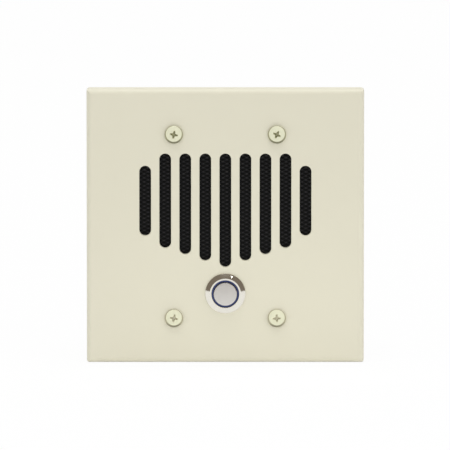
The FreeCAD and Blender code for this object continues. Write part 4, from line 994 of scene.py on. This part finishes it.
# Studs, clips, spacers and nuts. weld is where a stud's neck ends and its thread starts behind the plate.
fixings = {
    "thread": {"radius": 1.5, "end": 23.4, "pitch": 0.5, "depth": 0.22, "point": 0.35, "perTurn": 6},
    "neck": 1.5, "weld": (1.1, 1.2), "clip": 0.8, "flats": 5.5, "nut": 2.4, "nutBore": 1.53,
    "spacer": (1.65, 2.6), "spacerEdge": 0.2,
}


def makeFixings():
    f, skin, back = fixings, planes["skin"], planes["boardBack"]
    low = planes["flangeBack"] + f["clip"]
    stop, start = skin + f["weld"][0], skin + f["weld"][1]
    studs = [rod(x, z, f["neck"], skin, stop, start, 18, f["thread"]) for x, z in studPlaces]
    spacer = section(*f["spacer"], low + f["nut"], planes["boardFront"], f["spacerEdge"])
    piece("weldStuds", studs, "platedSteel")
    for name, start in (("clipNuts", low), ("boardNuts", back)):
        nuts = [hexNut(f["flats"], start, start + f["nut"], f["nutBore"], x, z) for x, z in studPlaces]
        piece(name, nuts, "platedSteel")
    piece("boardSpacers", [turned(spacer, x, z, 40) for x, z in studPlaces], "brassPlate")


makeFixings()
edged("speakerClips", "platedSteel", 0.25)
print("fixings made")

# Circuit board
dress("circuit_board", "boardGreen")
edged("terminalBlock", "blockGreen", 0.2)
edged("terminalScrews", "platedSteel", 0.12)
edged("amplifierChip", "chipBlack", 0.12)
edged("chipLegs", "tinned", 0.06)
edged("trimmerBody", "trimmerBlue", 0.2)
edged("trimmerRotor", "rotorWhite", 0.12, "trimmer")

# base and end are points of (inset, height), from the board up and from the can's top down.
cans = {
    "places": [(-26.0, 12.0), (-26.0, 1.5), (-16.0, -6.0)], "radius": 4.0, "top": 29.0, "sides": 48,
    "base": [(0.15, 0.0), (0.0, 0.3), (0.0, 1.1), (0.35, 1.5), (0.0, 1.9)],
    "end": [(0.0, 0.0), (0.75, 0.0), (0.8, 0.12)], "stripe": (5, 11), "bareRows": 12,
    "rounding": (0, 0.1, 0.2, 0.2, 0.3, 0.2, 0.5, 0.05, 0.05, 0), "face": 0.85, "faceCells": 36,
    "faceDrop": 0.1, "scores": (30, 90, 150), "scoreWidth": 0.1, "scoreDepth": 0.1, "scoreReach": 2.5,
    "ink": (4.55, 4.35),
}
header = {
    "x": (-5.5, 5.5), "y": (20.0, 25.0), "z": (-19.4, -13.9), "edge": 0.25, "shoulder": 0.4, "inset": 0.5,
    "raised": 1.2, "raisedEdge": 0.2, "ribs": 5, "pitch": 2.2, "rib": (0.4, 0.6), "ribEnds": (0.6, 0.8),
    "ribEdge": 0.1,
}


# A can: base, crimped groove, sleeve rolled over the edge, and a bare end with score lines in a star.
def makeCans():
    s, back = cans, planes["boardBack"]
    r, top = s["radius"], s["top"]
    line = [(0, back), *[(r - inset, back + y) for inset, y in s["base"]],
            *[(r - inset, top - y) for inset, y in s["end"]], (0, top - s["end"][-1][1])]
    line = rounded(line, s["rounding"], 4, closed=False)
    shells = []
    for x, z in s["places"]:
        at, quads, fans, _ = turned(line, x, z, s["sides"])
        row, side = np.divmod(np.arange(len(quads)), s["sides"])
        pick = np.where((side >= s["stripe"][0]) & (side < s["stripe"][1]), 2, 0)
        pick = np.concatenate([np.where(row >= len(line) - s["bareRows"], 1, pick), np.ones(len(fans), int)])
        shells.append((at, quads, fans, pick))
        u, v = disc(r - s["face"], s["faceCells"])
        score = sum(np.exp(-((u * np.sin(t) - v * np.cos(t)) / s["scoreWidth"]) ** 2)
                    for t in np.radians(s["scores"]))
        y = s["scoreDepth"] * np.minimum(score, 1) * (np.hypot(u, v) < s["scoreReach"]) - s["faceDrop"]
        shells.append(grid(np.stack([x + u, top + y, z + v], -1), columnsClosed=False, look=1))
    piece("capacitorCans", shells, ["canAluminium", "bareAluminium", "sleeveStripe"], stand="capacitors")


# A low box with a raised middle, and ribs across its lower side between the pins.
def makeHeader():
    h = header
    (left, right), (low, high), (bottom, top), inset = h["x"], h["y"], h["z"], h["inset"]
    shells = [brick(h["x"], (low, high - h["shoulder"]), h["z"], h["edge"]),
              brick((left + inset, right - inset), (high - h["raised"], high), (bottom + inset, top - inset),
                    h["raisedEdge"])]
    wide, deep = h["rib"]
    y = (low + h["ribEnds"][0], high - h["ribEnds"][1])
    for x in (np.arange(h["ribs"]) - (h["ribs"] - 1) / 2) * h["pitch"]:
        shells.append(brick((x - wide / 2, x + wide / 2), y, (bottom, bottom + deep), h["ribEdge"]))
    piece("leadHeader", shells, "nylonWhite")


tracks = {"sunk": 0.02, "height": 0.035, "width": 0.5, "bend": 0.8, "wide": 1.1}
traces = [
    [(-12.7, 22.0), (-12.7, 19.0), (-18.0, 13.7), (-20.5, 13.7)], [(-7.62, 22.0), (-7.62, 17.8)],
    [(-2.54, 22.0), (-2.54, 14.0), (-1.81, 13.2), (-1.81, 10.3)],
    [(2.54, 22.0), (2.54, 13.0), (0.73, 11.2), (0.73, 10.3)],
    [(7.62, 22.0), (7.62, 14.5), (3.27, 10.9), (3.27, 10.3)],
    [(12.7, 22.0), (12.7, 18.5), (16.0, 16.0), (18.2, 16.0)],
    [(5.81, 10.3), (5.81, 12.0), (9.0, 12.0), (12.5, 9.8)],
    [(-6.4, 9.5), (-4.5, 9.5), (-3.6, 11.4), (-1.81, 11.4)],
    [(-6.4, 6.0), (-3.2, 6.0)], [(-6.4, 2.5), (-4.5, 2.5), (-3.8, 1.2), (-1.81, 1.2)],
    [(0.73, 1.8), (0.73, -2.2)],
    [(-9.6, 9.5), (-14.0, 9.5), (-17.0, 12.0), (-21.0, 12.0)],
    [(-9.6, 6.0), (-15.0, 6.0), (-19.5, 1.5), (-21.5, 1.5)], [(-9.6, 2.5), (-12.0, 2.5), (-16.0, -1.5)],
    [(3.27, 1.8), (3.27, 0.0), (4.0, -0.8), (4.0, -2.4)],
    [(5.81, 1.8), (5.81, 0.2), (8.0, -2.0), (10.0, -2.4)],
    [(14.1, 8.0), (15.9, 8.0)], [(14.1, 4.5), (15.9, 4.5)], [(19.1, 8.0), (21.0, 8.0), (23.3, 10.0)],
    [(19.1, 4.5), (23.0, 4.5), (25.5, 6.4)], [(21.8, 16.0), (27.0, 16.0), (27.0, 13.6)],
    [(-3.3, -13.6), (-3.3, -9.0), (-2.0, -7.5), (-2.0, -5.6)],
    [(-1.1, -13.6), (-1.1, -10.0), (4.0, -7.0), (4.0, -5.6)],
    [(1.1, -13.6), (1.1, -11.0), (10.0, -7.5), (10.0, -5.6)],
    [(3.3, -13.6), (3.3, -12.0), (20.0, -9.0), (29.3, 0.5), (29.3, 4.2)],
    [(11.0, 4.5), (10.0, 3.0), (10.0, 0.0), (8.5, -1.4)],
    [(-34.6, 6.5), (-34.6, 18.0), (-28.0, 24.0), (-17.0, 24.0)],
    [(29.3, 10.2), (33.0, 13.0), (33.0, 24.0), (28.0, 28.0), (17.0, 28.0)],
    [(-21.0, -6.0), (-29.0, -6.0), (-33.0, -2.0), (-33.0, 4.0), (-32.1, 5.5)],
    [(-12.0, -6.0), (-6.0, -6.0), (-3.6, -4.0)],
]
wideTraces = [[(-36.5, -20.9), (36.5, -20.9)], [(-36.8, -20.0), (-36.8, 32.0)], [(36.8, -20.0), (36.8, 32.0)]]

# Rings are (outer, inner) radii; pads and chips are half sizes along X and Z.
pads = {
    "top": 0.05, "via": (0.55, 0.25), "stud": (3.6, 1.7), "tops": (-0.02, 0.06), "edge": 0.03,
    "chip": (2.0, 2.54), "chipRows": (2.05, 9.95), "chipPad": (0.4, 0.75), "end": 1.55, "endPad": (0.8, 0.8),
}
vias = [(-9.5, 12.0), (9.0, 12.0), (-16.0, -1.6), (8.2, -1.8), (-20.0, 6.0), (22.5, -2.0), (29.3, -6.0),
        (-32.0, -12.0), (31.0, 20.0), (-31.0, 26.0), (-22.0, 22.0), (15.0, -14.0), (-10.0, -12.0),
        (33.5, -16.0), (-33.5, -18.0)]

# Places of the small chips, whether they lie along X, heights of body and ends, edges and finish
chips = {
    "chipResistors": ([(-8, 9.5), (-8, 6.0), (-8, 2.5), (12.5, 8.0), (12.5, 4.5), (17.5, 8.0), (17.5, 4.5)],
                      True, (0.6, 0.62), (0.05, 0.06), "resistorBlack"),
    "chipCapacitors": ([(-2.0, -4.0), (4.0, -4.0), (10.0, -4.0), (-8.0, 16.0), (20.0, 16.0)],
                       False, (1.2, 1.22), (0.08, 0.08), "ceramicTan"),
}
chip = {"start": 0.05, "body": (1.15, 0.78), "end": (0.25, 0.8), "endPlace": 1.35}
ink = {"width": 0.2, "height": 0.03, "boxes": [(-15.9, 15.9, 22.4, 31.6), (23.0, 31.0, 6.0, 14.0),
                                               (-6.1, 6.1, -20.0, -13.3), (-3.4, 7.4, 2.9, 9.1)]}


# A flat strip along (x, z) points, raised by height over the board.
def strip(points, width, height):
    p = np.asarray(points, float)
    side = leftOf(unit(np.gradient(p, axis=0))) * width / 2
    low, high = planes["boardBack"] - tracks["sunk"], planes["boardBack"] + height
    rows = [level(q, y) for q, y in ((p + side, low), (p + side, high), (p - side, high), (p - side, low))]
    return grid(np.stack(rows, 1), ends=(True, True))


# A flat ring about (x, z)
def padRound(x, z, outer, inner, height, sides=20):
    back = planes["boardBack"]
    return turned(section(inner, outer, back - tracks["sunk"], back + height), x, z, sides)


# A block about (x, z) between two heights over the board
def block(x, z, half, tops, edge, look=0):
    y = planes["boardBack"] + np.array(tops)
    return brick((x - half[0], x + half[0]), y, (z - half[1], z + half[1]), edge, look)


# Traces, tinned rings and pads, small chips, and white ink round the larger parts
def makeBoardDetail():
    t, p = tracks, pads
    lines = [strip(rounded(line, t["bend"], 3, closed=False), t["width"], t["height"]) for line in traces]
    piece("boardTraces", lines + [strip(line, t["wide"], t["height"]) for line in wideTraces], "maskedTrace")

    shells = [padRound(x, z, *p["via"], p["top"]) for x, z in vias]
    shells += [padRound(x, z, *p["stud"], p["top"]) for x, z in studPlaces]
    middle, pitch = p["chip"]
    spots = [(middle + (k - 1.5) * pitch, z, p["chipPad"]) for k in range(4) for z in p["chipRows"]]
    for places, lying, *_ in chips.values():
        way = (p["end"], 0) if lying else (0, p["end"])
        spots += [(x + s * way[0], z + s * way[1], p["endPad"]) for x, z in places for s in (-1, 1)]
    piece("boardPads", shells + [block(x, z, half, p["tops"], p["edge"]) for x, z, half in spots], "tinned")

    for name, (places, lying, tops, edges, look) in chips.items():
        turn = slice(None) if lying else slice(None, None, -1)
        way = (chip["endPlace"], 0)[turn]
        body, end = chip["body"][turn], chip["end"][turn]
        shells = [block(x, z, body, (chip["start"], tops[0]), edges[0]) for x, z in places]
        shells += [block(x + s * way[0], z + s * way[1], end, (chip["start"], tops[1]), edges[1], 1)
                   for x, z in places for s in (-1, 1)]
        piece(name, shells, [look, "tinned"])

    shells = [padRound(x, z, *cans["ink"], ink["height"], cans["sides"]) for x, z in cans["places"]]
    for x0, x1, z0, z1 in ink["boxes"]:
        corners = [(x0, z0), (x1, z0), (x1, z1), (x0, z1), (x0, z0)]
        shells += [strip(ends, ink["width"], ink["height"]) for ends in zip(corners, corners[1:])]
    piece("boardInk", shells, "whiteInk")


makeCans()
makeHeader()
makeBoardDetail()
print("circuit board made")

# Microphone. boot is the radii of its mouth, outside and bore, and its back plane. lip, disk and felt are
# insets from the can's radius and heights from its front or end.
microphone = {
    "x": -35.84, "z": 11.545, "radius": 4.85, "start": -3.05, "end": 2.95, "pin": 1.27,
    "boot": (3.2, 6.0, 4.9, 3.45), "bootEdges": (0.2, 0.5, 0.45, 0.2, 0.1, 0.15), "lip": (0.7, 0.75, 0.25),
    "canEdges": (0, 0.4, 0.35, 0.1, 0.05, 0), "disk": (0.8, 0.3, 0.18), "felt": (0.5, 0.2, 0.1),
    "feltEdges": (0, 0.15, 0.05, 0),
    "solder": [(0, -0.2), (1.0, -0.2), (0.7, -0.05), (0.35, 0.3), (0.3, 1.35), (0.2, 1.5), (0, 1.5)],
}


# A boot, and in it a can with felt, a disk and two soldered pins, all turned about lines along Y
def makeMicrophone():
    m, front = microphone, planes["clothBack"]
    x, z, r, start, end = m["x"], m["z"], m["radius"], m["start"], m["end"]
    mouth, outer, bore, back = m["boot"]
    skin = [(mouth, front), (outer, front), (outer, back), (bore, back), (bore, start), (mouth, start)]
    piece("microphoneBoot", [turned(rounded(skin, m["bootEdges"]), x, z, 64)], "bootRubber")
    lip, seat, deep = m["lip"]
    can = [(0, start), (r, start), (r, end), (r - lip, end), (r - seat, end - deep), (0, end - deep)]
    inset, low, high = m["disk"]
    disk = [(0, end - low), (r - inset, end - low), (r - inset, end - high), (0, end - high)]
    inset, low, high = m["felt"]
    felt = [(0, start - low), (r - inset, start - low), (r - inset, start + high), (0, start + high)]
    shells = [turned(rounded(can, m["canEdges"], closed=False), x, z, 64), turned(disk, x, z, 48, look=1),
              turned(rounded(felt, m["feltEdges"], closed=False), x, z, 48, look=3)]
    cone = np.array(m["solder"]) + (0, end)
    shells += [turned(cone, x + side * m["pin"], z, 24, look=2) for side in (-1, 1)]
    piece("microphoneCapsule", shells, ["capsuleCan", "fibreBoard", "tinned", "feltBlack"])


makeMicrophone()

# Wires held at both ends, with their routes
wireRadius = 0.4
speakerRoutes = [[(24.3, 7.95, z), (24.3, 11.61, z), (29.3, 14.85, end), (29.3, 18.4, end)]
                 for z, end in ((3.7, 5.2), (10.7, 9.2))]
microphoneRoutes = [[(x, 4.45, 11.545), (x, 9.33, 11.545), (x + 4, 13.66, 6.545), (x + 4, 18.4, 6.545)]
                    for x in (-37.11, -34.57)]
switchRoutes = [[(x, 22.5, z), (x, 27.0, z), ((x + pin) / 2, 30.5, (z - 16.65) / 2), (pin, 29.5, -16.65),
                 (pin, 25.0, -16.65)]
                for x, z, pin in ((-3.0, -30.4, -3.3), (0.0, -35.75, -1.1), (0.0, -25.05, 1.1),
                                  (3.0, -30.4, 3.3))]


# A smooth NURBS line for each route, with a round section.
def makeLeads(name, routes, look):
    data = bpy.data.curves.new(name, "CURVE")
    data.dimensions = "3D"
    data.bevel_depth = wireRadius * millimetre
    data.bevel_resolution = 3
    data.use_fill_caps = True
    data.resolution_u = 10
    for route in routes:
        line = data.splines.new("NURBS")
        line.points.add(len(route) - 1)
        for point, at in zip(line.points, route):
            point.co = (*(np.array(at) * millimetre), 1.0)
        line.order_u = 3
        line.use_endpoint_u = True
    data.materials.append(looks[look])
    settle(name, data, look, "station", None)


makeLeads("speakerLeads", speakerRoutes, "leadRed")
makeLeads("microphoneLeads", microphoneRoutes, "leadGrey")
makeLeads("switchLeads", switchRoutes, "leadBlue")

# Each joint's start from the wire's end, its base radius and its rise along Y
solder = {"lug": (-0.05, 0.95, 0.9), "board": (0.02, 0.9, -0.8), "top": 0.25, "power": 0.6}


# A fillet of solder about a wire's end: the radius falls from the whole base to top of it, by share^power.
def solderBlob(at, shift, base, rise):
    x, y, z = at
    share = np.linspace(0, 1, 7)
    r = base * (1 - (1 - solder["top"]) * share ** solder["power"])
    line = np.vstack([[(0, y + shift)], np.stack([r, y + shift + rise * share], -1), [(0, y + shift + rise)]])
    return turned(line, x, z, 24)


blobs = [solderBlob(route[0], *solder["lug"]) for route in speakerRoutes]
blobs += [solderBlob(route[-1], *solder["board"]) for route in speakerRoutes + microphoneRoutes]
piece("solderJoints", blobs, "tinned")
print("microphone and wires made")
